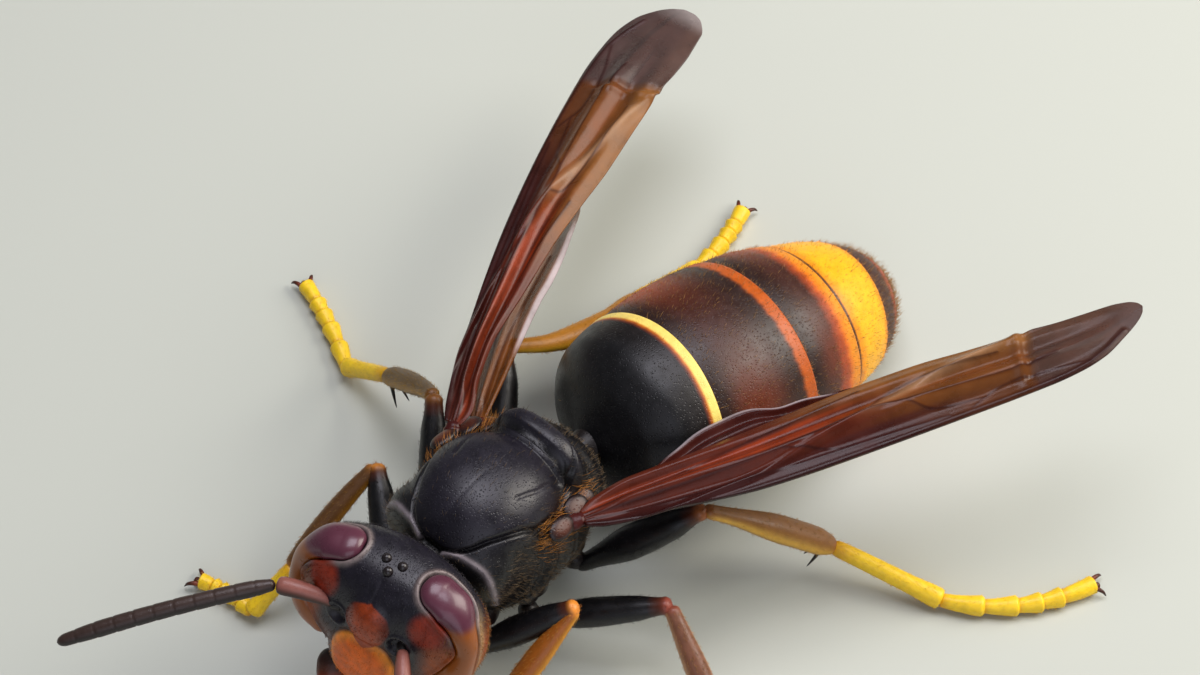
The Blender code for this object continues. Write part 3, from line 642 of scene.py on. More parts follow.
for _, side in SIDES:
    thorax_shells.append(pebble(TEGULA[0], TEGULA[1], side, TEGULA[2], RUST * 0.2))
    for centre, half in SCLERITES:
        thorax_shells.append(pebble(centre, half, side, SCLERITE_LEAN, RUST * 0.15, 24, 30))
    for rank, root in COXA_ROOT.items():
        start, end = np.array(root) * (side, 1, 1), np.array(COXA_END[rank]) * (side, 1, 1)
        path = placed([start, (start + end) / 2, end], THORAX)
        thorax_shells.append(limb(path, COXA_WIDTHS, PITCH, 30, 28))
thorax_piece = make("thorax_shell", thorax_shells, BODY_CHITIN, ["thorax"])
print("thorax:", len(thorax_piece.data.polygons), "faces")

# %% [markdown]
# ## Outline of the gaster
#
# The gaster is a drop-shaped tube of six plates that slip under one another like the rings of a
# telescope. Six separate tubes could be stacked, but their hidden fronts would cost faces that nobody
# sees. One profile does it instead: at the front of each plate the radius is smaller by one step, and
# at its rear edge the shell rolls over a small lip.

# %% Outline of the gaster
OUTLINE = (  # place along the axis and radius
    (0.0, 0.5), (0.3, 1.1), (0.9, 2.45), (1.8, 3.25), (3.24, 3.58), (5.4, 3.75), (7.55, 3.6),
    (9.71, 3.14), (11.65, 2.48), (12.6, 1.95), (13.3, 1.3), (13.75, 0.75), (14.0, 0.3),
)
REARS = (0.0, 3.14, 7.25, 9.71, 11.65, 12.9, 14.0)  # rear edge of each plate, after the front
BOW = ((0, 0), (3.14, 0.3), (5.4, 0.1), (7.25, 0.0), (9.71, 0.0), (11.65, 0.3), (12.9, 0.2), (14, 0))
PLATE_STEP = 0.12
STEP_REACH = 0.5  # the step fades out over this length behind each rear edge
LIP = 0.06
UPPER = 0.935  # height of the back over the half width
LOWER = ((0, 1.0), (1.2, 0.8), (3.2, 0.62), (9, 0.55), (12.8, 0.72), (14.0, 0.9))  # the same beneath
DROOP = (8.0, 14.0, 0.5)  # the tail end bends down between these places, by this much
GAP = 0.3


def gaster_profile():
    """Places along the axis, the plate of each, and its depth under the outline: step * exp(-d / reach)."""
    place, plate, sunk = [], [], []
    for k in range(6):
        front, rear = REARS[k], REARS[k + 1]
        t = np.linspace(0, 1, 46 if k != 1 else 70) ** 1.2
        d = front + t * (rear - front - LIP)
        place.append(np.concatenate([d, rear - LIP * np.array((0.66, 0.33, 0.1, 0.0))]))
        tuck = PLATE_STEP * np.exp(-t * (rear - front) / STEP_REACH) if k else np.zeros_like(t)
        sunk.append(np.concatenate([tuck, PLATE_STEP * np.array((0.05, 0.2, 0.5, 0.85))]))
        plate.append(np.full(len(t) + 4, k))
    return np.concatenate(place), np.concatenate(plate), np.concatenate(sunk)


print("gaster profile:", len(gaster_profile()[0]), "places over", REARS[-1], "mm")

# %% [markdown]
# ## Bands of the gaster
#
# The first plate is black with a pale rear line, the second and third brown with orange rear bands,
# the fourth mostly yellow, and the last two dark. The bands could be cut as separate faces, but the
# real ones fade and have ragged edges. So the colour is a function of the distance to the plate's
# rear edge, with a sum of sines added to it for the ragged line, and of the height round the body.

# %% Bands of the gaster
ORANGE_BAND = linear("#bd560c")


def gaster_tint(place, plate, top, angle):
    """Markings by the distance to the plate's rear edge; top is 1 on the back and -1 beneath."""
    ragged = 0.02 * (np.sin(23 * angle) + np.sin(41 * angle + 1.0) + 0.7 * np.sin(89 * angle + 2.0))
    rear = np.array(REARS)[plate + 1] - place
    uneven = rear + ragged
    reach = place - np.array(REARS)[plate]
    flank = 1 - np.clip(top, 0, 1)
    line = [(0, STRAW), (0.3, STRAW), (0.35, AMBER), (0.4, RUST), (0.5, PITCH), (1.4, INK)]
    first = ramp(line, rear + 0.2 * ragged)
    # The red-brown blush on the flanks is the plates' own colour. It fades on the left flank as painted shade
    # of the wing and is stronger on the right.
    out_of_wing_shade = 0.6 - 0.4 * np.sin(angle)
    blush = out_of_wing_shade * hill(flank - 0.45, 0.3) * ease(0.2, 1.2, reach) * (1 - ease(1.6, 3.4, reach))
    brown = mix(mix(PITCH, CHESTNUT, 0.2 + 0.3 * ease(0.2, 1.0, flank)), RUST * 1.25, 0.95 * blush)
    second = mix(brown, CHESTNUT, 1 - ease(0.4, 0.8, uneven))
    second = mix(second, ORANGE_BAND, 1 - ease(0.42, 0.62, uneven))
    third = mix(brown, RUST, 1 - ease(0.6, 1.05, uneven - 0.5 * flank))
    third = mix(third, FLAME, 1 - ease(0.4, 0.75, uneven - 0.2 * flank))
    third = mix(third, AMBER * 0.9, 1 - ease(0.18, 0.62, uneven - 0.15 * flank))
    fourth = mix(AMBER, LEMON, ease(0.2, 0.6, reach) * (1 - ease(1.6, 1.9, reach)))
    fourth = mix(fourth, CHESTNUT * 0.6, 1 - ease(0.1, 0.2, reach))
    fifth = mix(mix(PITCH, CHESTNUT, 0.6), RUST, 1 - ease(0.15, 0.6, uneven))
    belly = mix(PITCH, RUST, 1 - ease(0.15, 0.4, rear))
    rows = [first, second, third, fourth, fifth, fifth]
    tint = np.select([(plate == k)[..., None] for k in range(6)], rows)
    return mix(tint, belly, ease(0.25, 0.6, -top) * 0.9)


print("the yellow band is", round(REARS[4] - REARS[3], 2), "mm long")

# %% [markdown]
# ## Skin of the gaster
#
# The plates are domed above and flatter beneath, and the tail end droops. Turning the outline on a
# lathe would make it round all over. Instead each ring is the profile's radius times a cosine and a
# sine, with one height factor above and another, which changes along the body, beneath. A thin waist
# joins it to the thorax.

# %% Skin of the gaster


def gaster_skin(columns):
    """Rings x = h sin a, z = h f cos a, with f the height factor above or beneath, and their tint."""
    place, plate, sunk = gaster_profile()
    angle = np.arange(columns) * 2 * math.pi / columns
    half = (smooth_through(OUTLINE, place) - sunk)[:, None]
    up = np.cos(angle)[None, :]
    z = half * np.where(up > 0, UPPER, smooth_through(LOWER, place)[:, None]) * up
    start, stop, drop = DROOP
    z = z - drop * (np.clip((place - start) / (stop - start), 0, 1) ** 2)[:, None]
    x = half * np.sin(angle)[None, :]
    y = (place + GAP)[:, None] + smooth_through(BOW, place)[:, None] * np.clip(up, 0, 1) ** 2
    grids = [np.broadcast_to(a, x.shape) for a in (place[:, None], plate[:, None], up, angle[None, :])]
    return np.stack([x, y, z], 2), gaster_tint(*grids)


gaster_rings, gaster_colours = gaster_skin(300)
waist_path = placed([(0, -0.7, -0.1), (0, -0.1, 0.0), (0, 0.5, 0.03), (0, 1.0, 0.05)], GASTER)
waist = limb(waist_path, ((0, 0.6), (0.3, 0.5), (0.6, 0.62), (1, 0.95)), PITCH, 30, 32)
gaster_shells = [shell(placed(gaster_rings, GASTER), gaster_colours), waist]
gaster_piece = make("gaster_plates", gaster_shells, GASTER_CHITIN, ["gaster"])
print("gaster:", len(gaster_piece.data.polygons), "faces")

# %% [markdown]
# ## Masses of the head
#
# The head is a broad capsule with a face plate, a brow between the feelers and a domed crown. It could be
# sculpted from a sphere, but then eyes and colours would have to be fitted by eye. Melted masses keep
# one formula for skin, normals and distances. An eye is bent like a bean: an ellipse carried along a
# path down the side of the face, and the distance to that path also shapes socket and colours.

# %% Masses of the head
HEAD_PARTS = [
    ((0, 0.15, -0.05), (3.28, 1.5, 2.3), 2.5, (0, 0, 0)),
    ((0, -1.08, -1.35), (1.25, 0.66, 1.2), 2.4, (0, 0, 0)),
    ((0, -1.12, 0.55), (0.72, 0.58, 0.85), 2.1, (0, 0, 0)),
    ((0, -0.7, -2.1), (1.5, 0.7, 0.45), 2.3, (0, 0, 0)),
    ((0, 0.55, 1.3), (1.9, 0.9, 0.92), 2.2, (0, 0, 0)),
    ((0, 1.3, -0.1), (0.8, 0.8, 0.8), 2.0, (0, 0, 0)),
]
EYE_PATH = (  # middle of the left eye on the head, with half width and bulge
    (1.7, -0.06, 1.98, 0.64, 0.36), (2.16, -0.1, 1.66, 0.66, 0.42), (2.6, -0.26, 1.12, 0.44, 0.36),
    (2.86, -0.36, 0.45, 0.36, 0.32), (2.8, -0.55, -0.3, 0.5, 0.38), (2.52, -0.7, -0.95, 0.56, 0.38),
    (2.12, -0.78, -1.55, 0.42, 0.28),
)
SOCKET = (1.08, -1.22, 0.22)  # root of the left feeler
SHIELD = (  # height and half width of the red-brown shield between the feelers
    (-0.4, 0.0), (-0.2, 0.35), (0.2, 0.66), (0.7, 0.78), (1.1, 0.66), (1.36, 0.3), (1.46, 0.0), (3.0, -1.0),
)
HEAD_FIELD = melted(HEAD_PARTS, 0.1)


def eye_line(count):
    """Middle of the left eye as (places, half widths, bulges), moved along its normals to field = 0."""
    knots, t = np.linspace(0, 1, len(EYE_PATH)), np.linspace(0, 1, count)
    table = np.array(EYE_PATH)
    x, y, z, wide, deep = (smooth_through(np.stack([knots, table[:, k]], 1), t) for k in range(5))
    places = np.stack([x, y, z], 1)
    normals = slope_of(HEAD_FIELD, places)
    for _ in range(4):
        places = places - HEAD_FIELD(places)[:, None] * normals
    return places, wide, deep


def outside_eye(local):
    """How far a point lies outside the eye: the least of |point - middle| - half width along it."""
    places, wide, _ = eye_line(36)
    best = np.full(local.shape[:-1], np.inf)
    left = mirrored(local)
    for p, w in zip(places, wide):
        best = np.minimum(best, np.linalg.norm(left - p, axis=-1) - w)
    return best


def clypeus_reach(x, z):
    """1 on the rim of the face plate, a rounded box of fullness 2.2, and less inside it."""
    return ((np.abs(x) / 1.22) ** 2.2 + (np.abs(z + 1.42) / 1.36) ** 2.2) ** (1 / 2.2)


print("head:", len(HEAD_PARTS), "masses, about", 2 * HEAD_PARTS[0][1][0], "mm wide")

# %% [markdown]
# ## Markings of the head
#
# The crown is black, the face plate orange, the shield between the feelers and the notch of each eye
# red-brown, and the cheeks brown. Painted pale highlights follow the rims of the eyes and the cheek beside
# each eye. Painting on the mesh could give all of this by hand. Steps and hills of height, width and distance
# to the eye give soft borders that are the same on both sides.

# %% Markings of the head


def head_tint(local):
    """Black crown, orange face plate, shield and notches, red-brown cheeks, painted highlights on the eye
    rims and beside the eyes.
    """
    x, y, z = np.abs(local[..., 0]), local[..., 1], local[..., 2]
    front = 1 - ease(-0.9, -0.4, y)
    gap = outside_eye(local)
    cheek = (1 - ease(0.3, 1.3, z)) * ease(1.6, 2.3, x) * (1 - ease(0.9, 1.4, y))
    tint = mix(SLATE * 0.7, linear("#90400a"), cheek)
    tint = mix(tint, CHESTNUT, (1 - ease(-1.2, -0.4, z)) * (1 - cheek))
    # Painted highlight: a pale line on the glossy rim above each eye.
    rim = hill(gap - 0.1, 0.09) * ease(0.8, 1.4, z)
    tint = mix(tint, linear("#988884"), 0.7 * rim)
    # The cheek behind each eye is orange-brown. This strip is lightened to pale tan as a painted highlight.
    beside = (1 - ease(0.8, 1.6, z)) * ease(2.3, 2.8, x) * ease(-0.4, 0.0, y)
    tint = mix(tint, linear("#c4a070"), 0.7 * (hill(gap - 0.2, 0.17) * beside))
    rim_share = clypeus_reach(x, z)
    orange = mix(linear("#dc6404"), linear("#f2901c"), ease(0.7, 1.0, rim_share))
    tint = mix(tint, orange, front * (1 - ease(0.95, 1.03, rim_share)))
    shield = front * ease(-0.03, 0.06, smooth_through(SHIELD, z) - x)
    hue = mix(linear("#9c3c0e"), linear("#641e08"), ease(0.3, 0.75, x) + 0.4 * ease(0.6, 1.3, z))
    tint = mix(tint, hue, shield)
    notch = (1 - ease(0.6, 1.15, np.hypot((x - 1.92) / 0.66, (z - 1.2) / 0.66))) * (1 - ease(-0.5, 0.0, y))
    return mix(tint, linear("#86260c"), notch)


print("markings of the head are read from", len(eye_line(36)[0]), "places along each eye")

# %% [markdown]
# ## Skin of the head
#
# A seam runs round the face plate, each feeler stands in a pit with a raised ring, and the skin dips
# where the eye sits and rises in a rim round it. Bump in the material could suggest this, but the
# outline would stay smooth, so the skin itself is moved along its rays by hills and steps.

# %% Skin of the head


def head_skin(rows, columns):
    """The melted head, raised in a rim round each eye, with pits for the feelers."""
    rings, ways = cast_skin(HEAD_FIELD, (0, 0.1, 0), (1, 0, 0), 1.7, rows, columns)
    gap = outside_eye(rings)
    rise = 0.08 * hill(gap - 0.1, 0.07) - 0.16 * (1 - ease(-0.06, 0.04, gap))
    far = np.linalg.norm(mirrored(rings) - SOCKET, axis=-1)
    rise = rise + 0.05 * hill(far - 0.42, 0.08) - 0.15 * (1 - ease(0.2, 0.4, far))
    x, z = np.abs(rings[..., 0]), rings[..., 2]
    front = 1 - ease(-0.9, -0.5, rings[..., 1])
    rise = rise - 0.06 * front * hill(clypeus_reach(x, z) - 1.02, 0.045)
    groove = hill(distance_to(rings, [(0, -1.4, 1.3), (0, -0.7, 2.0)]), 0.05)
    return rings + ways * (rise - 0.02 * groove)[..., None]


head_rings = head_skin(270, 330)
head_colours = head_tint(head_rings)
head_shells = [shell(placed(head_rings, HEAD), head_colours)]
head_piece = make("head_shell", head_shells, FACE_CHITIN, ["head"])
print("head:", len(head_piece.data.polygons), "faces")

# %% [markdown]
# ## Eyes
#
# A compound eye is a bean of thousands of tiny lenses, dark red-brown, drawn plum above and brown below as
# painted reflections. Each lens could be modelled, but they are too small to see. So the eye is one bulging
# shell: half ellipses standing on the skin across the eye's path, closed by rounded ends, with a fine grain
# in its finish.

# %% Eyes
# Painted reflections: plum on the upper lens and brown on the lower, over its dark red-brown.
LENS_TOP, LENS_LOW = linear("#5a2c3c"), linear("#8a4602")
EYE_SINK = 0.06


def eye_rings(side, rows, columns):
    """Rings m + w cos a across + d sin a out along the eye, with w and d closing as quarter circles."""
    places, wide, deep = eye_line(rows)
    tangent = unit(np.gradient(places, axis=0))
    out = slope_of(HEAD_FIELD, places)
    across = unit(np.cross(tangent, out))
    cap = np.linspace(0, 1, 14)[1:-1]
    close = np.sqrt(1 - (1 - cap) ** 2)
    sets = [(places, across, out, wide, deep)]
    for i, sign in ((0, -1), (-1, 1)):
        reach = places[i] + sign * tangent[i] * ((1 - cap) * wide[i])[:, None]
        reach = reach - HEAD_FIELD(reach)[:, None] * slope_of(HEAD_FIELD, reach)
        ways = (np.tile(across[i], (len(cap), 1)), slope_of(HEAD_FIELD, reach))
        part = (reach, *ways, wide[i] * close, deep[i] * close)
        sets = [part] + sets if i == 0 else sets + [tuple(a[::-1] for a in part)]
    places, across, out, wide, deep = (np.concatenate([s[k] for s in sets]) for k in range(5))
    angle = (np.arange(columns) * 2 * math.pi / columns)[None, :, None]
    rings = places[:, None, :] + np.cos(angle) * (across * wide[:, None])[:, None, :]
    rings = rings + np.sin(angle) * (out * deep[:, None])[:, None, :] - EYE_SINK * out[:, None, :]
    return rings * (side, 1, 1)


for side_name, side in SIDES:
    rings = eye_rings(side, 90, 72)
    lens = shell(placed(rings, HEAD), mix(LENS_LOW, LENS_TOP, ease(1.35, 1.65, rings[..., 2])))
    make(f"eye_lens_{side_name}", [lens], LENS_CHITIN, [f"eye_{side_name}"])
print("eyes: two lenses of", rings.shape[0], "rings each")

# %% [markdown]
# ## Ocelli
#
# Three small simple eyes stand in a triangle on the crown, where they catch one bright glint each. A
# primitive sphere would do, and the same ray casting as for the head makes one with a loft's grid.

# %% Ocelli
OCELLI = ((-0.29, -0.03, 2.26), (0.29, -0.03, 2.26), (0.0, -0.4, 2.2))
OCELLUS_RADIUS = 0.165
bead = melted([((0, 0, 0), (OCELLUS_RADIUS,) * 3, 2.0, (0, 0, 0))], 0.05)
beads = []
for centre in OCELLI:
    rings, _ = cast_skin(bead, (0, 0, 0), (0, 0, 1), 0.0, 20, 28, far=0.6)
    beads.append(shell(placed(rings + centre, HEAD), linear("#1a1214")))
make("ocelli", beads, LENS_CHITIN)
print("ocelli:", len(beads), "beads of", OCELLUS_RADIUS, "mm radius")

# %% [markdown]
# ## Jaws
#
# A hornet's jaw is a strong blade that curves in under the face plate, with teeth along its inner
# edge. A cut sheet would be too sharp-edged, so it is a flattened bar along a curved path, with two
# smaller bars as teeth, brown at the root and black at the biting end.

# %% Jaws
JAW = ((1.3, -0.9, -2.4), (1.3, -1.0, -2.75), (1.15, -1.2, -3.15), (0.85, -1.42, -3.55), (0.45, -1.55, -3.9))
JAW_WIDTHS = ((0, 0.5), (0.4, 0.5), (0.75, 0.4), (1, 0.1))
JAW_TINT = [(0, PITCH), (0.3, CHESTNUT), (0.6, RUST), (1, INK)]
TOOTH = (-0.5, -0.05, 0.12)  # from its root to its point, on the left jaw
for side_name, side in SIDES:
    path = np.array(JAW) * (side, 1, 1)
    shells = [limb(placed(path, HEAD), JAW_WIDTHS, JAW_TINT, 40, 28, 0.6)]
    for t in (0.35, 0.65):
        start = path[3] * (1 - t) + path[4] * t
        tooth = start + np.array(TOOTH) * (side, 1, 1)
        spike = placed([start, (start + tooth) / 2, tooth], HEAD)
        shells.append(limb(spike, ((0, 0.22), (1, 0.05)), INK, 16, 14))
    make(f"jaw_{side_name}", shells, FACE_CHITIN, [f"mandible_{side_name}"])
print("jaws: one blade and", len(shells) - 1, "teeth on each side")

# %% [markdown]
# ## Feelers
#
# A feeler is one long joint, dark with a painted red-brown highlight where the light falls, then a whip of
# eleven short dark ones.
# Eleven separate beads could be strung on a path, but their gaps would gape in the bend. One swept
# bar is better, whose radius narrows a little at every joint: r (1 - 0.05 exp(-(d / 0.06)^2)).

# %% Feelers
ANTENNA = {  # elbow and tip
    "right": ((-2.55, -7.4, 6.75), (-6.75, -12.9, 5.5)),
    "left": ((3.05, -7.75, 5.75), (6.1, -14.2, 4.1)),
}
FLAGELLUM_RADIUS = 0.26
FLAGELLUM_JOINTS = 11
# Painted highlight on the top of the first joint of a feeler.
HIGHLIT = linear("#a4665a")
LONG_JOINT = ((0, 0.15), (0.12, 0.21), (0.5, 0.28), (0.85, 0.3), (1, 0.24))
KNOB = ((0, 0.2), (0.6, 0.2), (1, 0.14))


def long_joint(root, elbow, along):
    """The knob in the socket and the first joint, bowed upward, with a painted highlight on top and painted
    shade beneath.
    """
    knob = limb([root, root + 0.3 * along, root + 0.55 * along], KNOB, PITCH, 20, 24)
    bow = np.array((0, 0, 0.12))
    path = [root + 0.35 * along, root + 0.35 * (elbow - root) + bow, root + 0.7 * (elbow - root) + bow, elbow]
    curve, _ = spline(path, 64)
    share = np.linspace(0, 1, 64)
    radius = smooth_through(LONG_JOINT, share)
    radius = radius * round_end(share, 0.05) * round_end(1 - share, 0.06)
    rings, angle = swept(curve, radius, 30)
    # Painted highlight on top, then painted shade beneath.
    tint = mix(CHESTNUT * 0.5, HIGHLIT, ease(0.1, 0.9, np.sin(angle)) * 0.8)
    return [knob, shell(rings, mix(tint, PITCH, 0.6 * ease(0.1, 0.9, -np.sin(angle))))]


def short_joints(start, tip):
    """The whip along a parabola: each joint is narrowed at its ends, and the last ones taper."""
    middle = (start + tip) / 2 + np.array((0, 0, 0.45))
    t = np.linspace(0, 1, 60)[:, None]
    line = (1 - t) ** 2 * start + 2 * t * (1 - t) * middle + t * t * tip
    t = np.linspace(0, FLAGELLUM_JOINTS, FLAGELLUM_JOINTS * 14 + 1)
    curve, _ = spline(line, len(t))
    part = t % 1
    neck = hill(np.minimum(part, 1 - part), 0.06)
    radius = FLAGELLUM_RADIUS * (0.99 + 0.03 * part) * (1 - 0.05 * neck) * (1 - 0.3 * ease(8.5, 11.5, t))
    radius = radius * (0.72 + 0.28 * ease(0.0, 1.2, t))
    radius = radius * round_end(t, 0.25) * round_end(FLAGELLUM_JOINTS - t, 0.5)
    rings, angle = swept(curve, radius, 30)
    tint = mix(PITCH * 1.5, RUST * 0.6, ease(0.1, 0.9, -np.sin(angle)))
    # Painted highlight: the top of the whip is greyer.
    return shell(rings, mix(tint, linear("#4e3a32"), 0.5 * ease(0.2, 1.0, np.sin(angle))))


for side_name, side in SIDES:
    root = placed(np.array(SOCKET) * (side, 1, 1) + (0, 0.25, 0), HEAD)
    elbow, tip = (np.array(p) for p in ANTENNA[side_name])
    along = unit(elbow - root)
    shells = long_joint(root, elbow, along) + [short_joints(elbow + 0.02 * along, tip)]
    nodes = [f"antenna_scape_{side_name}", f"antenna_flagellum_{side_name}"]
    make(f"feeler_{side_name}", shells, LEG_CHITIN, nodes)
print("feelers: a long first joint and", FLAGELLUM_JOINTS, "short ones on each side")

# %% [markdown]
# ## Thighs
#
# Each leg hangs from its coxa by a tiny trochanter and a stout black thigh that turns red-brown at the knee.
# Legs could be copies of one, but the six differ in length and pose, and in colours that are partly painted
# light and shade. So a leg is a few joints in the room and one row of sizes and colours, and one function
# makes all six.

# %% Sizes of the legs
LEGS = {  # knee, ankle, heel and claw
    "front_left": ((3.95, -0.75, 4.25), (3.6, -3.6, 1.95), (3.6, -5.1, 0.36), (4.4, -7.6, 0.3)),
    "front_right": ((-4.6, -0.85, 3.85), (-4.87, -4.7, 1.9), (-5.42, -6.16, 0.36), (-7.55, -6.4, 0.3)),
    "mid_left": ((5.75, 1.75, 3.2), (8.93, 0.52, 1.1), (11.1, -0.4, 0.36), (14.3, -1.6, 0.3)),
    "mid_right": ((-4.7, 2.05, 4.6), (-7.7, 2.92, 1.95), (-9.8, 3.0, 0.36), (-13.3, 4.62, 0.3)),
    "hind_left": ((4.85, 4.43, 4.75), (7.64, 7.9, 1.38), (11.31, 9.18, 0.36), (14.65, 13.0, 0.3)),
    "hind_right": ((-4.72, 5.59, 3.6), (-3.45, 10.9, 2.0), (-3.45, 14.2, 0.36), (-3.95, 17.25, 0.3)),
}
FEMUR_RADIUS = {"front": 0.5, "mid": 0.5, "hind": 0.6}
# Shin and knee colours differ from leg to leg as painted light and shade: left and right legs are one
# material, lit and shaded apart, and the pale edge of mid_left is a painted highlight.
SHINS = {  # radius, sag of the middle, then the colours of the ground, the two edges and the knee
    "front_left": (0.4, 0.0, "#9a5516", "#e09a1c", "#e89034"),
    "front_right": (0.36, 0.1, "#5e3c1a", "#c8861c", "#c07828"),
    "mid_left": (0.4, 0.0, "#744832", "#d0a27c", "#8c4232"),
    "mid_right": (0.4, 0.1, "#5a3e10", "#b4841e", "#84501e"),
    "hind_left": (0.5, 0.08, "#8a5c2e", "#e8b43a", "#96562a"),
    "hind_right": (0.46, 0.5, "#b07420", "#ecb82c", "#a8641e"),
}


def thigh_shells(name, rank, side, knee):
    """Trochanter and thigh as swept bars, and the way that the thigh points."""
    root = placed(np.array(COXA_ROOT[rank]) * (side, 1, 1), THORAX)
    coxa = placed(np.array(COXA_END[rank]) * (side, 1, 1), THORAX)
    down = unit(coxa - root)
    hip = coxa + 0.55 * down
    thick = FEMUR_RADIUS[rank]
    thigh = unit(knee - hip)
    path = [coxa - 0.1 * down, coxa + 0.3 * down, hip + 0.2 * thigh]
    trochanter = limb(path, ((0, 0.34), (0.5, 0.36), (1, 0.3)), PITCH, 20, 20)
    path = [hip - 0.1 * thigh, hip + 0.35 * (knee - hip), hip + 0.7 * (knee - hip), knee + 0.1 * thigh]
    widths = ((0, 0.28), (0.12, 0.33), (0.45, thick), (0.75, thick * 0.85), (0.93, 0.3), (1, 0.31))
    joint = linear(SHINS[name][4])
    knee_tint = [(0, INK), (0.84, INK), (0.92, CHESTNUT), (0.97, joint), (1, joint)]
    return trochanter, limb(path, widths, knee_tint, 70, 26, 0.92), thigh


print("legs to make:", ", ".join(LEGS))

# %% [markdown]
# ## Shins
#
# A shin widens towards the ankle, is brown on its broad faces with yellow edges, and carries one or
# two dark spurs beneath. The two colours could be two materials, but the border is soft. The edge
# colour is |cos a|^9 of the angle round the bar, which keeps it to a narrow line on either side.

# %% Shins
SHIN_EDGE = 9  # power of the cosine: the higher, the narrower the yellow line
SPUR = ((0, 0.09), (0.5, 0.06), (1, 0.015))


def shin_shells(name, rank, side, knee, ankle):
    """Shin as a swept bar that sags sideways, its spurs, and the way that the shin points."""
    thick, sag, ground, edge, joint = SHINS[name]
    shin = unit(ankle - knee)
    sideways = unit(np.cross(shin, (0, 0, 1.0)))
    beneath = -unit(np.cross(sideways, shin))
    bend = sag * sideways * -side
    middle = [knee + t * (ankle - knee) + bend for t in (0.3, 0.7)]
    curve, length = spline([knee + 0.02 * shin, *middle, ankle + 0.05 * shin], 70)
    share = np.linspace(0, 1, 70)
    widths = ((0, 0.26), (0.1, 0.27), (0.2, 0.3), (0.6, thick), (0.85, thick * 0.97), (1, 0.3))
    radius = smooth_through(widths, share)
    radius = radius * round_end(share * length, 0.22) * round_end((1 - share) * length, 0.22)
    rings, angle = swept(curve, radius, 28, 0.85)
    tint = mix(linear(ground), linear(edge), np.abs(np.cos(angle)) ** SHIN_EDGE * 0.85)
    tips = np.maximum(1 - ease(0.0, 0.1, share), ease(0.93, 1.0, share))[:, None]
    tibia = shell(rings, mix(tint, linear(joint), 0.7 * tips))
    spurs = []
    for k in (-1, 1) if rank != "front" else (1,):
        base = ankle - 0.5 * shin + 0.1 * k * sideways
        point = base + 0.15 * shin + 1.05 * beneath + 0.15 * k * sideways
        thorn = [base, (base + point) / 2 + 0.04 * shin, point]
        spurs.append(limb(thorn, SPUR, PITCH, 16, 12))
    return tibia, spurs, shin


print("the stoutest shin is", 2 * max(row[0] for row in SHINS.values()), "mm across")

# %% [markdown]
# ## Feet
#
# The foot is one long yellow joint and a row of short cup-shaped ones, each set into the wider end of
# the last, then two hooked claws and a pad. The real row has four, and five are drawn here to fill
# its length. A single notched bar would look like a string of beads. So
# every joint is a short bar of its own, narrow where it starts and blunt where it ends.

# %% Feet
TARSUS_RADIUS = {"front": 0.3, "mid": 0.31, "hind": 0.33}
TOE_BOW = {"hind_left": 0.5}  # sideways bend of the toes, where it is more than the usual
USUAL_BOW = 0.12
TOE_JOINTS = ((0.0, 0.26), (0.26, 0.48), (0.48, 0.64), (0.64, 0.78), (0.78, 1.0))
TARSUS = linear("#fcd222")
# Painted shade: the underside and the narrow end of each foot joint are darkened.
TARSUS_PAINTED_SHADE = linear("#cc8812")
CLAW_WIDTHS = ((0, 0.09), (0.5, 0.07), (1, 0.015))
CLAW_TINT = [(0, RUST), (0.5, CHESTNUT), (1, PITCH)]


def foot_joint(path, widths, rows, columns):
    """One joint of a foot: yellow, with painted shade below and at its narrow end, where it sits in the last
    joint.
    """
    rings = limb_rings(path, widths, rows, columns, blunt=0.12)
    height = rings[..., 2] - rings[..., 2].mean(1, keepdims=True)
    low = ease(0.0, -1.0, height / np.abs(height).max())
    near = 1 - ease(0.0, 0.3, np.linspace(0, 1, rows))[:, None]
    return shell(rings, mix(TARSUS, TARSUS_PAINTED_SHADE, np.clip(low * 0.6 + near * 0.7, 0, 1)))


def foot_shells(name, rank, shin, ankle, heel, claw):
    """Long joint, five toes along a shallow parabola, claws and pad, and the way of the toes."""
    toe = unit((claw - heel) * (1, 1, 0))
    out = np.array((toe[1], -toe[0], 0.0))
    bow = TOE_BOW.get(name, USUAL_BOW)
    thick = TARSUS_RADIUS[rank]
    path = [ankle - 0.1 * shin, ankle + 0.25 * (heel - ankle), ankle + 0.75 * (heel - ankle), heel]
    widths = ((0, 0.22), (0.1, thick * 0.85), (0.7, thick * 0.95), (0.95, thick * 1.1), (1, thick * 1.05))
    foot = [foot_joint(path, widths, 50, 24)]
    for a, b in TOE_JOINTS:
        t = np.linspace(a - 0.02, b + 0.012, 4)[:, None]
        path = heel + t * (claw - heel) + 4 * bow * t * (1 - t) * out
        wide = 0.95 if b > 0.99 else 1.07
        widths = ((0, thick * 0.7), (0.45, thick * 0.86), (0.93, thick * wide), (1, thick * 0.98))
        foot.append(foot_joint(path, widths, 30, 22))
    for k in (-1, 1):
        base = claw - 0.12 * toe - 0.1 * k * out
        way = unit(toe - 0.6 * k * out)
        hook = [base, base + 0.24 * way + (0, 0, 0.05), base + 0.44 * way, base + 0.58 * way - (0, 0, 0.18)]
        foot.append(limb(hook, CLAW_WIDTHS, CLAW_TINT, 24, 14))
    pad = claw + 0.12 * toe - (0, 0, 0.12)
    foot.append(limb([pad - 0.2 * toe, pad, pad + 0.14 * toe], ((0, 0.13), (1, 0.12)), CHESTNUT, 14, 16))
    return [(above_floor(p), q, t, c) for p, q, t, c in foot], toe


print("a foot is drawn with", len(TOE_JOINTS), "short joints")

# %% [markdown]
# ## Legs
#
# Thigh, shin and foot each have a function now, and a leg is those three, met at knee and ankle. One mesh
# per leg would do for a render, but the parts are named apart so that each can be found and dressed.
# The bars that carry hair are noted as they are made, for the coat.

# %% Legs
SHIN_HAIR = linear("#c89a3c")
SAND_DARK = linear("#4a3a2a")
BEDS = []  # bars to carry hair: shell, rows, lie, hair colour, count and length


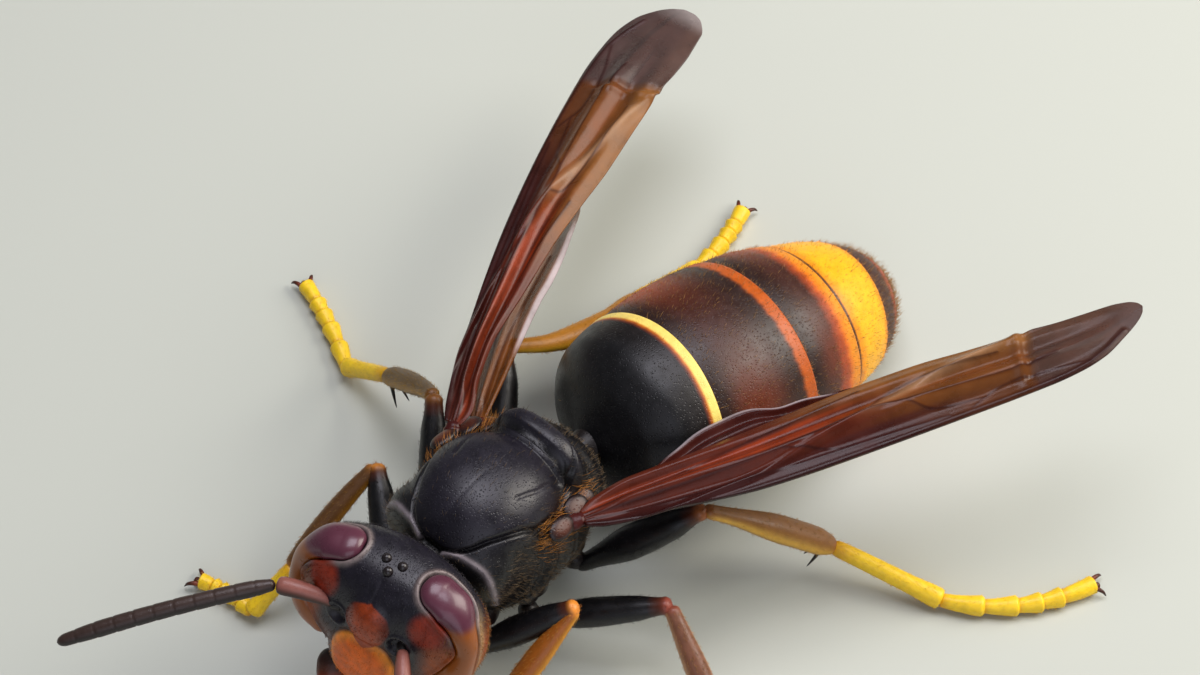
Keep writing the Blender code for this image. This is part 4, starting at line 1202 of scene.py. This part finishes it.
def leg(name):
    """One leg as thigh, shin and foot, each replacing its solid, with its beds of hair noted."""
    rank = name.split("_")[0]
    side = 1 if name.endswith("left") else -1
    knee, ankle, heel, claw = (np.array(p, float) for p in LEGS[name])
    trochanter, femur, thigh = thigh_shells(name, rank, side, knee)
    tibia, spurs, shin = shin_shells(name, rank, side, knee, ankle)
    foot, toe = foot_shells(name, rank, shin, ankle, heel, claw)
    BEDS.append((femur, 70, thigh, SAND_DARK, 560, 0.14))
    BEDS.append((tibia, 70, shin, SHIN_HAIR, 640, 0.15))
    BEDS.append((foot[0], 50, unit(heel - ankle), SHIN_HAIR, 380, 0.13))
    for joint in foot[1:6]:
        BEDS.append((joint, 30, toe, SHIN_HAIR, 110, 0.1))
    make(f"thigh_{name}", [trochanter, femur], LEG_CHITIN, [f"{name}_femur"])
    make(f"shin_{name}", [tibia] + spurs, LEG_CHITIN, [f"{name}_tibia"])
    make(f"foot_{name}", foot, LEG_CHITIN, [f"{name}_tarsus"])


for name in LEGS:
    leg(name)
print("legs:", len(LEGS), "with", len(BEDS), "beds of hair")

# %% [markdown]
# ## Outlines of the wings
#
# At rest a hornet folds each fore wing lengthwise into a narrow blade, with the hind wing beside it.
# The outline could be traced as one closed loop. It is kept as two edges instead, each a distance
# from the wing's axis at shares of its length, because rows and columns of a grid then follow it.

# %% Outlines of the wings
FOREWING = {  # root in the thorax's frame, and tip in the room
    "left": ((2.75, 0.75, 1.4), (11.85, 18.1, 7.8)),
    "right": ((-2.75, 0.65, 1.4), (-8.1, 19.5, 5.8)),
}
HINDWING = {
    "left": ((2.45, 1.75, 0.95), (5.95, 11.2, 5.95)),
    "right": ((-2.45, 1.65, 0.95), (-6.75, 11.4, 4.75)),
}
WING_TILT = {"left": 1.0, "right": 8.0}
FORE_EDGES = {  # share of length, then how far the fold and the leading edge lie from the axis
    "left": (
        (0, 0.3, -0.25), (0.03, 0.62, -0.5), (0.1, 0.86, -0.73), (0.2, 0.88, -0.95), (0.3, 0.93, -1.2),
        (0.4, 1.04, -1.28), (0.5, 1.12, -1.3), (0.6, 1.1, -1.31), (0.7, 0.95, -1.31), (0.8, 0.82, -1.28),
        (0.85, 0.78, -1.2), (0.9, 0.74, -1.0), (0.95, 0.7, -0.54), (0.98, 0.6, -0.2),
        (0.995, 0.45, 0.06), (1, 0.3, 0.24),
    ),
    "right": (
        (0, 0.3, -0.25), (0.03, 0.42, -0.5), (0.1, 0.05, -0.9), (0.2, -0.22, -1.3), (0.3, -0.18, -1.69),
        (0.4, -0.18, -2.03), (0.5, -0.06, -2.28), (0.6, 0.12, -2.46), (0.7, 0.18, -2.58), (0.8, 0.3, -2.64),
        (0.85, 0.41, -2.58), (0.9, 0.5, -2.44), (0.95, 0.5, -2.05), (0.98, 0.25, -1.5),
        (0.995, -0.12, -1.0), (1, -0.5, -0.62),
    ),
}
HIND_EDGES = {
    "left": (
        (0, 0.1, -0.3), (0.1, 0.0, -0.5), (0.2, 0.15, -0.55), (0.3, 0.48, -0.55), (0.4, 0.72, -0.55),
        (0.5, 0.85, -0.58), (0.6, 0.72, -0.62), (0.7, 0.34, -0.66), (0.8, 0.15, -0.71), (0.9, -0.05, -0.72),
        (1, -0.35, -0.6),
    ),
    "right": (
        (0, 0.2, -0.3), (0.1, 0.3, -0.6), (0.3, 0.36, -0.85), (0.5, 0.43, -1.0), (0.6, 0.55, -1.0),
        (0.7, 0.59, -0.95), (0.8, 0.55, -0.85), (0.9, 0.48, -0.6), (1, 0.15, -0.1),
    ),
}
fore_length = math.dist(placed(FOREWING["left"][0], THORAX), FOREWING["left"][1])
print("a fore wing is about", round(fore_length, 1), "mm long")

# %% [markdown]
# ## Veins and folds
#
# Veins stiffen the membrane, the stoutest along the leading edge, and the folded wing has long
# pleats. A normal map could fake both, but they show in the outline and throw highlights, so they are
# in the surface. Veins are lines drawn in (share of length, share of width), and a pleat is a hill
# across the wing that wanders from its place at the root to its place at the tip.

# %% Veins and folds
FORE_VEINS = (  # height, half width and line
    (0.11, 0.1, ((0, 0.1), (0.08, 0.04), (0.3, 0.02), (0.6, 0.03), (0.85, 0.05), (0.95, 0.14))),
    (0.04, 0.06, ((0, 0.3), (0.25, 0.19), (0.5, 0.13), (0.62, 0.08))),
    (0.05, 0.05, ((0, 0.5), (0.2, 0.42), (0.34, 0.45), (0.5, 0.5), (0.56, 0.46))),
    (0.03, 0.04, ((0.34, 0.45), (0.42, 0.22), (0.44, 0.14))),
    (0.04, 0.05, ((0, 0.7), (0.2, 0.72), (0.38, 0.8), (0.5, 0.86))),
    (0.04, 0.04, ((0.66, 0.08), (0.72, 0.25), (0.8, 0.24), (0.88, 0.08))),
    (0.04, 0.04, ((0.56, 0.46), (0.66, 0.42), (0.76, 0.4), (0.83, 0.45))),
    (0.04, 0.04, ((0.56, 0.46), (0.6, 0.26), (0.66, 0.2), (0.69, 0.17))),
    (0.04, 0.04, ((0.5, 0.5), (0.53, 0.66), (0.62, 0.75), (0.74, 0.78))),
)
HIND_VEINS = (
    (0.07, 0.07, ((0, 0.05), (0.4, 0.04), (0.9, 0.12))),
    (0.05, 0.05, ((0, 0.35), (0.4, 0.3), (0.6, 0.22), (0.75, 0.1))),
    (0.05, 0.05, ((0, 0.6), (0.35, 0.6), (0.7, 0.7))),
)
FORE_FOLDS = (  # height, place across at the root and at the tip, half width
    (0.2, 0.5, 0.42, 0.12), (-0.12, 0.7, 0.62, 0.1), (0.14, 0.88, 0.82, 0.1), (-0.1, 0.27, 0.22, 0.1),
    (0.14, -0.22, 1.28, 0.06),
)
HIND_FOLDS = ((0.14, 0.45, 0.45, 0.12), (-0.1, 0.68, 0.68, 0.1), (0.12, 0.9, 0.9, 0.1))
CREASE = 0.765  # share of the length where the folded wing bends across
CREASE_SLANT = 0.03


def vein_ridges(s, offset, length, table, veins):
    """Height of the ridges and strength of their colour: the highest hill of distance to a vein."""
    ridge, mark = np.zeros(s.shape), np.zeros(s.shape)
    flat = np.stack([s * length, offset, np.zeros_like(s)], -1)
    for height, half, line in veins:
        s_line, u_line = np.array(line).T
        low, high = (smooth_through(table[:, (0, k)], s_line) for k in (2, 1))
        drawn = np.stack([s_line * length, low + (high - low) * u_line, np.zeros_like(s_line)], 1)
        curve, _ = spline(drawn, 24)
        near = hill(distance_to(flat, curve), half)
        ridge = np.maximum(ridge, height * near)
        mark = np.maximum(mark, near)
    return ridge, mark


print("veins:", len(FORE_VEINS), "in a fore wing and", len(HIND_VEINS), "in a hind wing")

# %% [markdown]
# ## Colours of the wings
#
# The membrane is smoky: nearly black along the leading edge, with red-brown streaks inside, amber further
# out, and a greyer tip past the crease. A painted highlight runs along one pleat of a fore wing, and a
# painted pale glint runs along the folded edge of a hind wing. One flat colour would look like plastic film.
# So the streaks are a sum of sines across the wing, drawn out along it, and steps along its length decide
# which colour they mix in.

# %% Colours of the wings
SMOKE = linear("#5a2212")
EMBER = linear("#9c3a16")
HONEY = linear("#704014")
GOLD = linear("#96622a")
HIND_TONE = {"left": MAROON * 1.3, "right": HONEY * 1.3}
TIPS = {"left": (linear("#442823"), linear("#4c332c")), "right": (linear("#4a3838"), linear("#b0a4a0"))}


def hind_tint(s, u, side_name):
    """One tone of the side, and a painted pale glint along the folded edge over the middle of its length."""
    tint = mix(SMOKE, HIND_TONE[side_name], 0.8)
    # Painted glint: a pale line along the folded edge of a hind wing.
    edge_glint = ease(0.86, 0.94, u) * ease(0.25, 0.35, s) * (1 - ease(0.8, 0.9, s))
    return tint, edge_glint


def fore_tint(s, u, side_name):
    """Dark along the front, red-brown streaks inside, amber further out, a painted highlight along one pleat,
    greyer past the crease.
    """
    near_tip, last_tip = TIPS[side_name]
    streak = np.sin(11 * u + 3 * s) + 0.6 * np.sin(29 * u - 4 * s) + 0.3 * np.sin(61 * u + 2 * s)
    ember = (0.35 + 0.5 * ease(0.12, 0.35, s)) * ease(0.0, 1.2, streak) * ease(0.3, 0.55, u)
    tint = mix(SMOKE, EMBER, ember)
    tint = mix(tint, HONEY, 0.85 * ease(0.42, 0.62, s + 0.04 * streak))
    tint = mix(tint, GOLD, 0.6 * ease(0.7, 0.9, u) * ease(0.3, 0.5, s))
    front = 0.95 * (1 - ease(0.14, 0.38, u + 0.03 * streak)) * (1 - 0.55 * ease(0.5, 0.75, s))
    tint = mix(tint, MAROON, front)
    # Painted highlight: a pale streak along one pleat, where the membrane catches the light.
    fold = hill(u + 0.22 - 1.5 * s, 0.07) * ease(0.46, 0.56, s) * (1 - ease(0.73, CREASE, s))
    tint = mix(tint, linear("#b08864"), 0.6 * fold)
    tint = mix(tint, near_tip, 0.85 * ease(0.0, 0.02, s - CREASE - CREASE_SLANT * u))
    tint = mix(tint, near_tip * 0.5, 0.5 * ease(0.5, 1.2, streak) * ease(0.0, 0.02, s - CREASE))
    return mix(tint, last_tip, 0.8 * ease(0.94, 0.99, s - 0.03 * (1 - u)))


def wing_tint(s, u, mark, rank, side_name):
    """Colour of the membrane, darker along the veins, with a painted pale glint on the folded edge of a hind
    wing.
    """
    if rank == "fore":
        return mix(fore_tint(s, u, side_name), MAROON * 0.7, 0.75 * mark)
    tint, edge_glint = hind_tint(s, u, side_name)
    return mix(mix(tint, MAROON * 0.7, 0.75 * mark), linear("#d2c4c8"), 0.8 * edge_glint)


print("wing colours from", SMOKE.round(3), "to", GOLD.round(3))

# %% [markdown]
# ## Blades of the wings
#
# A wing could be a flat plane with an outline cut by its opacity. It is a thin closed shell instead:
# the middle surface is root + s along + offset inward + lift upward, and each ring goes out along one
# row on its upper face and back on its under face, half the thickness away from the middle.

# %% Blades of the wings
MEMBRANE = 0.03  # thicker than the real 0.005 mm, which would show as flecks where the faces cross


def wing_frame(root, tip, side, tilt):
    """Ways along the wing, inward across it and out of its upper face, turned by tilt degrees."""
    along = unit(tip - root)
    flat_inner = unit(np.cross(along, (0, 0, 1.0)) * -side)
    upward = unit(np.cross(flat_inner, along)) * side
    upward = upward if upward[2] > 0 else -upward
    slope = math.radians(tilt)
    inner = math.cos(slope) * flat_inner + math.sin(slope) * upward
    return along, inner, math.cos(slope) * upward - math.sin(slope) * flat_inner


def pleats(s, u, width, length, folds, rank):
    """Lift of the middle surface: a low arch, a hill for each pleat, and the crease of a fore wing."""
    lift = 0.24 * np.sin(math.pi * u) * np.sin(math.pi * np.clip(s, 0.05, 0.95)) * width / 2
    for height, at_root, at_tip, half in folds:
        place = at_root + (at_tip - at_root) * s + 0.02 * np.sin(9 * s)
        lift = lift + height * hill(u - place, half) * ease(0, 0.1, s) * (1 - ease(0.75, 0.97, s))
    if rank == "fore":
        across = (s - CREASE - CREASE_SLANT * u) * length / 0.2
        lift = lift + (0.1 * hill(across + 1.2, 1.0) - 0.12 * hill(across, 1.0)) * ease(0.1, 0.3, u)
    return lift


def wing(root, tip, side_name, side, edges, veins, folds, rank, rows, columns):
    """Rings round a folded blade, top face out along one row and under face back, with their tint."""
    along, inner, normal = wing_frame(root, tip, side, WING_TILT[side_name])
    shares = 1 - (1 - np.linspace(0, 1, rows)[:, None]) ** 1.3
    s, u = np.broadcast_arrays(shares, np.linspace(0, 1, columns)[None, :])
    table = np.array(edges)
    length = float(np.linalg.norm(tip - root))
    lead = smooth_through(table[:, (0, 2)], s)
    scallop = 0.03 * (rank == "hind") * (side > 0)
    fold = smooth_through(table[:, (0, 1)], s) + scallop * np.sin(2 * math.pi * 5.5 * s) * ease(0.2, 0.4, s)
    offset = lead + (fold - lead) * u
    lift = pleats(s, u, fold - lead, length, folds, rank)
    ridge, mark = vein_ridges(s, offset, length, table, veins)
    middle = root + (s * length)[..., None] * along + offset[..., None] * inner + lift[..., None] * normal
    thick = (MEMBRANE / 2 + ridge / 2)[..., None]
    rings = np.concatenate([middle + thick * normal, (middle - thick * normal)[:, ::-1]], 1)
    clear = 0.98 - 0.08 * ease(0.4, 0.8, s) - 0.06 * ease(0.0, 0.03, s - CREASE) + 0.2 * mark
    if rank == "hind" and side_name == "right":
        clear = clear - 0.3
    tint = wing_tint(s, u, mark, rank, side_name)
    tint = np.concatenate([tint, np.clip(clear, 0, 0.98)[..., None]], -1)
    return shell(rings, np.concatenate([tint, tint[:, ::-1]], 1))


print("membranes are drawn", MEMBRANE, "mm thick")

# %% [markdown]
# ## Wings
#
# Wing membrane is two bare layers of chitin, glossy and clear. Full transparency or glass would be
# slow and would lose the colour, so the finish is the shell's, smoother and with less shine, and its
# alpha follows the tint: nearly solid at the veins, and thinner between them. A short stalk of the same
# finish joins each blade to the thorax.

# %% Wings


def wing_material():
    """Smoky membrane: mostly its own colour, and clearer where the tint says so."""
    material = chitin("wing_membrane", 0.28, 0.8, (0.75, 1.15), 0.12, 0.002, shine=0.2)
    tree = material.node_tree
    tint = add(tree, "ShaderNodeAttribute", attribute_name="tint")
    tree.links.new(tint.outputs["Alpha"], tree.nodes["Principled BSDF"].inputs["Alpha"])
    return material


WING_CHITIN = wing_material()
STALK_WIDTHS = ((0, 0.35), (0.6, 0.32), (1, 0.26))
STALK_TINT = np.append(MAROON * 1.6, 1.0)
RANKS = (
    ("fore", FOREWING, FORE_EDGES, FORE_VEINS, FORE_FOLDS, (300, 56)),
    ("hind", HINDWING, HIND_EDGES, HIND_VEINS, HIND_FOLDS, (180, 40)),
)
for side_name, side in SIDES:
    for rank, wings, edges, veins, folds, grid in RANKS:
        root, tip = wings[side_name]
        start, end = placed(root, THORAX), np.array(tip)
        blade = wing(start, end, side_name, side, edges[side_name], veins, folds, rank, *grid)
        x, y, z = root
        stalk = [(side * 1.9, y - 0.5, z - 0.35), (x - side * 0.25, y - 0.2, z - 0.15), (x, y + 0.15, z)]
        base = limb(placed(stalk, THORAX), STALK_WIDTHS, STALK_TINT, 24, 24, 0.7)
        nodes = [f"{rank}wing_{side_name}"]
        make(f"blade_{rank}_{side_name}", [blade, base], WING_CHITIN, nodes)
print("wings: two pairs")

# %% [markdown]
# ## Hairs
#
# Short stiff hairs cover the hornet, longest on the tail end and at the wing roots. Blender's own
# hair is lost when a model is exported, so these are solid: three sides, two lengths and a point,
# rooted just under the skin. Roots are drawn at random over the grid of a skin, as often as area
# times density asks. A hair starts at `lift` degrees from the skin and bends towards the lie of the coat.
# Its patch in OFBake sits at its root's place on the grid of the skin, in that skin's own tile. Hairs
# that root close together have patches that overlap.

# %% Hairs
PATCH = 0.003
HAIR_POINTS = 7
HAIR_QUADS = np.array([[k, (k + 1) % 3, 3 + (k + 1) % 3, 3 + k] for k in range(3)])
HAIR_TRIANGLES = np.array([[3, 4, 6], [4, 5, 6], [5, 3, 6], [0, 2, 1]])
HAIR_PATCH = np.array([(0, 0), (0.5, 0), (1, 0), (0, 0.5), (0.5, 0.5), (1, 0.5), (0.5, 1)]) * PATCH
ROOT_DEPTH = 0.03
TRIANGLE = np.arange(3) * 2 * math.pi / 3
WHOLE_MAP = (0.0, 0.0, 1.0, 1.0)


def bristles(rings, tint, count, dense, length, lie, lift, width, tile=WHOLE_MAP):
    """Hairs over a grid of rings, as a shell and the patch of each point. A hair is root, root + l/2 a
    and that + 0.55 l b, with a lifted off the skin and b bent on towards the lie."""
    n, m, _ = rings.shape
    tint, lie = (np.broadcast_to(np.asarray(g, float), (n, m, 3)) for g in (tint, lie))
    dense, length = (np.broadcast_to(np.asarray(g, float), (n, m)) for g in (dense, length))
    normal = np.cross(np.roll(rings, -1, 1) - rings, np.gradient(rings, axis=0))
    normal = normal * np.sign(np.sum(normal * (rings - rings.mean(1, keepdims=True))))
    share = np.cumsum((np.linalg.norm(normal, axis=-1) * dense)[:-1].ravel())
    row, column = np.unravel_index(np.searchsorted(share, DRAWS.random(count) * share[-1]), (n - 1, m))
    down, across = DRAWS.random((2, count, 1))
    after = (column + 1) % m

    def at(grid):
        """A grid's value at the roots, between the four points round each."""
        upper = (1 - across) * grid[row, column] + across * grid[row, after]
        lower = (1 - across) * grid[row + 1, column] + across * grid[row + 1, after]
        return (1 - down) * upper + down * lower

    root, out, flow = at(rings), unit(at(normal)), at(lie)
    flow = unit(flow - (flow * out).sum(-1, keepdims=True) * out + DRAWS.normal(0, 0.16, (count, 3)))
    reach = at(length[..., None]) * DRAWS.uniform(0.55, 1.1, (count, 1))
    rise = math.radians(lift)
    first = unit(math.sin(rise) * out + math.cos(rise) * flow + DRAWS.normal(0, 0.12, (count, 3)))
    second = unit(first + 0.55 * flow)
    side = unit(np.cross(first, DRAWS.normal(size=(count, 3))))
    above = np.cross(first, side)
    corners = np.stack([np.cos(TRIANGLE), np.sin(TRIANGLE)])[:, None, :, None]
    ring = width * (corners[0] * side[:, None] + corners[1] * above[:, None])
    base = root - ROOT_DEPTH * out
    middle = root + 0.5 * reach * first
    tip = middle + 0.55 * reach * second
    levels = [base[:, None] + ring, middle[:, None] + 0.72 * ring, tip[:, None]]
    points = above_floor(np.concatenate(levels, 1).reshape(-1, 3), 0.01)
    start = HAIR_POINTS * np.arange(count)[:, None, None]
    shade = at(tint) * DRAWS.uniform(0.75, 1.3, (count, 1))
    u = tile[0] + (column[:, None] + across) / m * tile[2] * (1 - 2 * PATCH)
    v = tile[1] + (row[:, None] + down) / n * tile[3] * (1 - 2 * PATCH)
    patches = np.concatenate([u, v], 1)[:, None, :] + HAIR_PATCH
    quads, triangles = (start + HAIR_QUADS).reshape(-1, 4), (start + HAIR_TRIANGLES).reshape(-1, 3)
    return (points, quads, triangles, np.repeat(shade, HAIR_POINTS, 0)), patches.reshape(-1, 2)


# Hair is thin chitin, dull beside the shell, so that the coat reads as a soft bloom over the gloss.
HAIR_CHITIN = chitin("hair_chitin", 0.45, 0.2, (0.9, 1.1), 0.05, 0.0)
SOOT = linear("#1f1815")
GILT = linear("#a8742c")
SAND = linear("#8d7350")


def pile(name, beds):
    """One piece of coat from its beds of hair."""
    shells, patches = zip(*beds)
    make(name, list(shells), HAIR_CHITIN, patches=np.vstack(patches))
    print(name, sum(len(s[0]) for s in shells) // HAIR_POINTS, "hairs")


print("a hair has", len(HAIR_QUADS) * 2 + len(HAIR_TRIANGLES), "triangles")

# %% [markdown]
# ## Coat of the thorax
#
# The back has a short dark nap, the flanks and the rear longer pale wisps, and golden tufts stand
# where the wings leave the body. One even coat would hide the plates, so there are three beds of
# hair, each with its own density over the skin, length and lift.

# %% Coat of the thorax
BACKWARD = np.array((0.0, 1.0, -0.15))
x, y, z = (thorax_rings[..., k] for k in range(3))
room = placed(thorax_rings, THORAX)
flank = ease(1.7, 2.4, np.abs(x)) + ease(2.3, 3.0, y) + (1 - ease(-1.6, -0.8, z)) * 0.5
wing_roots = hill(distance_to(mirrored(thorax_rings), [(2.4, -0.4, 1.2), (2.3, 1.6, 0.9)]), 0.45)
# The short nap takes the skin's tint, with its painted sheen, highlight and shade.
short = mix(thorax_colours * 1.5, SOOT, 0.5)
wisps = mix(SAND * 0.5, GILT, 0.5 * wing_roots)
tufts = mix(GILT * 1.6, RUST, 0.3)
sides = flank + 0.6 * (1 - ease(0.0, 1.6, z)) + 0.2
thorax_beds = [
    bristles(room, short, 7000, 1.0, 0.13, BACKWARD, 40, 0.0065),
    bristles(room, wisps, 4200, sides, 0.26, BACKWARD, 45, 0.007),
    bristles(room, tufts, 900, wing_roots, 0.6, BACKWARD + (0, 0, 0.5), 55, 0.008),
]
pile("pile_thorax", thorax_beds)

# %% [markdown]
# ## Coat of the head
#
# The crown has a fine dark nap, the cheeks a golden one that points down, and the face plate only a
# faint down. The density is set to nothing on the eyes by the distance to their outline, which a
# painted mask could also do, but less exactly.

# %% Coat of the head
x, y, z = (head_rings[..., k] for k in range(3))
room = placed(head_rings, HEAD)
clear = ease(0.02, 0.12, outside_eye(head_rings))
face = clear * (1 - ease(-1.0, -0.6, y)) * (1 - ease(-0.5, 0.6, z))
cheeks = clear * ease(0.6, 1.2, np.abs(x)) * (z < 1.2) * (y > -0.9)
downward = placed(np.array((0, 0, -1.0)), (HEAD[0], (0, 0, 0)))
# The naps of crown and face take the head's tint, with its painted highlights.
own = mix(head_colours * 1.3 + 0.004, SOOT, 0.35)
head_beds = [
    bristles(room, own, 4200, clear * (z > 0.2), 0.11, BACKWARD + (0, 0, 0.6), 50, 0.006),
    bristles(room, GILT * 0.7, 2200, cheeks, 0.16, downward, 40, 0.006),
    bristles(room, mix(head_colours * 1.2, GILT, 0.2), 900, face, 0.12, downward, 35, 0.006),
]
pile("pile_head", head_beds)

# %% [markdown]
# ## Coat of the gaster
#
# The first plate is nearly bare, the others carry a low golden nap, and hairs grow longer and stand
# out towards the tail, where they soften the outline. Two beds do it: one flat over the plates, and
# a sparser halo that is thickest at the rear edges and the tail.

# %% Coat of the gaster
place, plate, _ = gaster_profile()
room = placed(gaster_rings, GASTER)
rear = (np.array(REARS)[plate + 1] - place)[:, None]
tail = ease(10.5, 13.5, place)[:, None]
edge = 1 - ease(0.0, 0.5, rear)
later, yellow = (plate > 0)[:, None], (plate == 3)[:, None]
gilding = (0.3 + 0.3 * edge) * (0.15 + 0.85 * later) * (1 - 0.7 * yellow)
# The nap takes the gaster's tint, with the blush faded by painted wing shade on the left.
gold = mix(gaster_colours * 1.1 + 0.01, GILT, gilding)
halo = mix(SAND, GILT, 0.5)
standing = (0.25 + edge + tail * 1.2) * (0.02 + 0.98 * later)
gaster_beds = [
    bristles(room, gold, 12500, 0.05 + 0.95 * later, 0.13 + 0.08 * tail, BACKWARD, 20, 0.0065),
    bristles(room, halo, 4200, standing, 0.2 + 0.22 * tail, BACKWARD, 38, 0.0075),
]
pile("pile_gaster", gaster_beds)

# %% [markdown]
# ## Coat of the legs
#
# Legs carry short bristles that all point towards the foot. They are drawn over the bars noted above,
# and every bar has its own tile in the coat's map, eight to a row, to keep the colours of bars apart.
# A few hairs that root at the very edge of a tile still reach a little past it.

# %% Coat of the legs
TILES = 8
leg_beds = []
for k, (bar, rows, way, hue, count, length) in enumerate(BEDS):
    rings, tints = (bar[i][:-2].reshape(rows, -1, 3) for i in (0, 3))
    tile = ((k % TILES) / TILES, (k // TILES) / TILES, 1 / TILES, 1 / TILES)
    # Leg hairs take the tint of their bars, with the painted light and shade of shins and feet.
    leg_beds.append(bristles(rings, mix(tints, hue, 0.4), count, 1.0, length, way, 34, 0.007, tile))
pile("pile_legs", leg_beds)

# %% [markdown]
# ## Floor
#
# The model stands on plain pale paper, as for a record picture. A curved backdrop could hide the
# horizon, but the camera looks down, so a flat sheet is enough.

# %% Floor
FLOOR_HALF = 0.6


def plain(name, colour, roughness):
    """A material of one colour and one roughness."""
    material = bpy.data.materials.new(name)
    material.use_nodes = True
    shader = material.node_tree.nodes["Principled BSDF"]
    shader.inputs["Base Color"].default_value = (*linear(colour), 1.0)
    shader.inputs["Roughness"].default_value = roughness
    return material


corners = [(x * FLOOR_HALF, y * FLOOR_HALF, 0) for x, y in ((-1, -1), (1, -1), (1, 1), (-1, 1))]
mesh = bpy.data.meshes.new("floor")
mesh.from_pydata(corners, [], [(0, 1, 2, 3)])
floor = bpy.data.objects.new("floor", mesh)
bpy.context.scene.collection.objects.link(floor)
# Uncoated paper: matt, so that it takes soft shadows and shows no glare.
mesh.materials.append(plain("paper_floor", "#c4c8be", 0.9))
print("floor:", 2 * FLOOR_HALF, "m wide")

# %% [markdown]
# ## Light
#
# Black shell shows only what it reflects, so a bare sun would leave it flat and dark. A large soft
# lamp behind draws long lights on the dome and the plates, one overhead fills them, and a weak one in
# front lifts the face. A dim pale sky keeps shadows open.

# %% Light


def lamp(name, place, aim, size, power, colour):
    """A square soft lamp, with place, aim and size in millimetres and power in watts."""
    light = bpy.data.lights.new(name, "AREA")
    light.energy = power
    light.size = size * MM
    light.color = linear(colour)
    obj = bpy.data.objects.new(name, light)
    way = (Vector(aim) - Vector(place)).to_track_quat("-Z", "Y")
    obj.matrix_world = Matrix.Translation(Vector(place) * MM) @ way.to_matrix().to_4x4()
    bpy.context.scene.collection.objects.link(obj)


BODY_HEIGHT = (0, 0, 4)
lamp("key_lamp", (70, 110, 105), BODY_HEIGHT, 110, 0.27, "#fff8ee")
lamp("overhead_lamp", (-20, 30, 150), BODY_HEIGHT, 90, 0.14, "#f6f4ff")
lamp("fill_lamp", (90, -90, 80), BODY_HEIGHT, 120, 0.05, "#eef0ff")
world = bpy.data.worlds.new("sky")
world.use_nodes = True
world.node_tree.nodes["Background"].inputs["Color"].default_value = (*linear("#eef2f6"), 1.0)
world.node_tree.nodes["Background"].inputs["Strength"].default_value = 0.15
bpy.context.scene.world = world
bpy.context.scene.view_settings.view_transform = "Standard"
print("lamps:", len(bpy.data.lights))

# %% [markdown]
# ## Camera
#
# The photograph looks down on the hornet from in front and from its own left, through a long lens. A
# camera could be aimed by hand, but angles, a distance and a point to aim at can be fitted to the
# picture one by one. `back` points from the aim to the camera, and `ROLL` turns the picture about it.

# %% Camera
AZIMUTH, ELEVATION, ROLL = 0.70077, 0.95669, 0.01903  # radians
REACH = 111.1377
AIM = np.array((0.97147, 3.69818, 11.49361)) - MIDDLE
LENS = 108.266
SENSOR = 36.0
flat = math.cos(ELEVATION)
back = np.array((math.sin(AZIMUTH) * flat, -math.cos(AZIMUTH) * flat, math.sin(ELEVATION)))
level = np.array((math.cos(AZIMUTH), math.sin(AZIMUTH), 0.0))
upright = np.cross(back, level)
right = math.cos(ROLL) * level + math.sin(ROLL) * upright
up = math.cos(ROLL) * upright - math.sin(ROLL) * level
camera_data = bpy.data.cameras.new("camera")
camera_data.lens = LENS
camera_data.sensor_width = SENSOR
camera_data.clip_start = 0.005
camera_data.clip_end = 10.0
camera = bpy.data.objects.new("camera", camera_data)
rotation = Matrix((right, up, back)).transposed().to_4x4()
camera.matrix_world = Matrix.Translation(Vector((AIM + REACH * back) * MM)) @ rotation
bpy.context.scene.collection.objects.link(camera)
bpy.context.scene.camera = camera
print("the camera is", round(REACH), "mm from its aim, with a lens of", round(LENS), "mm")
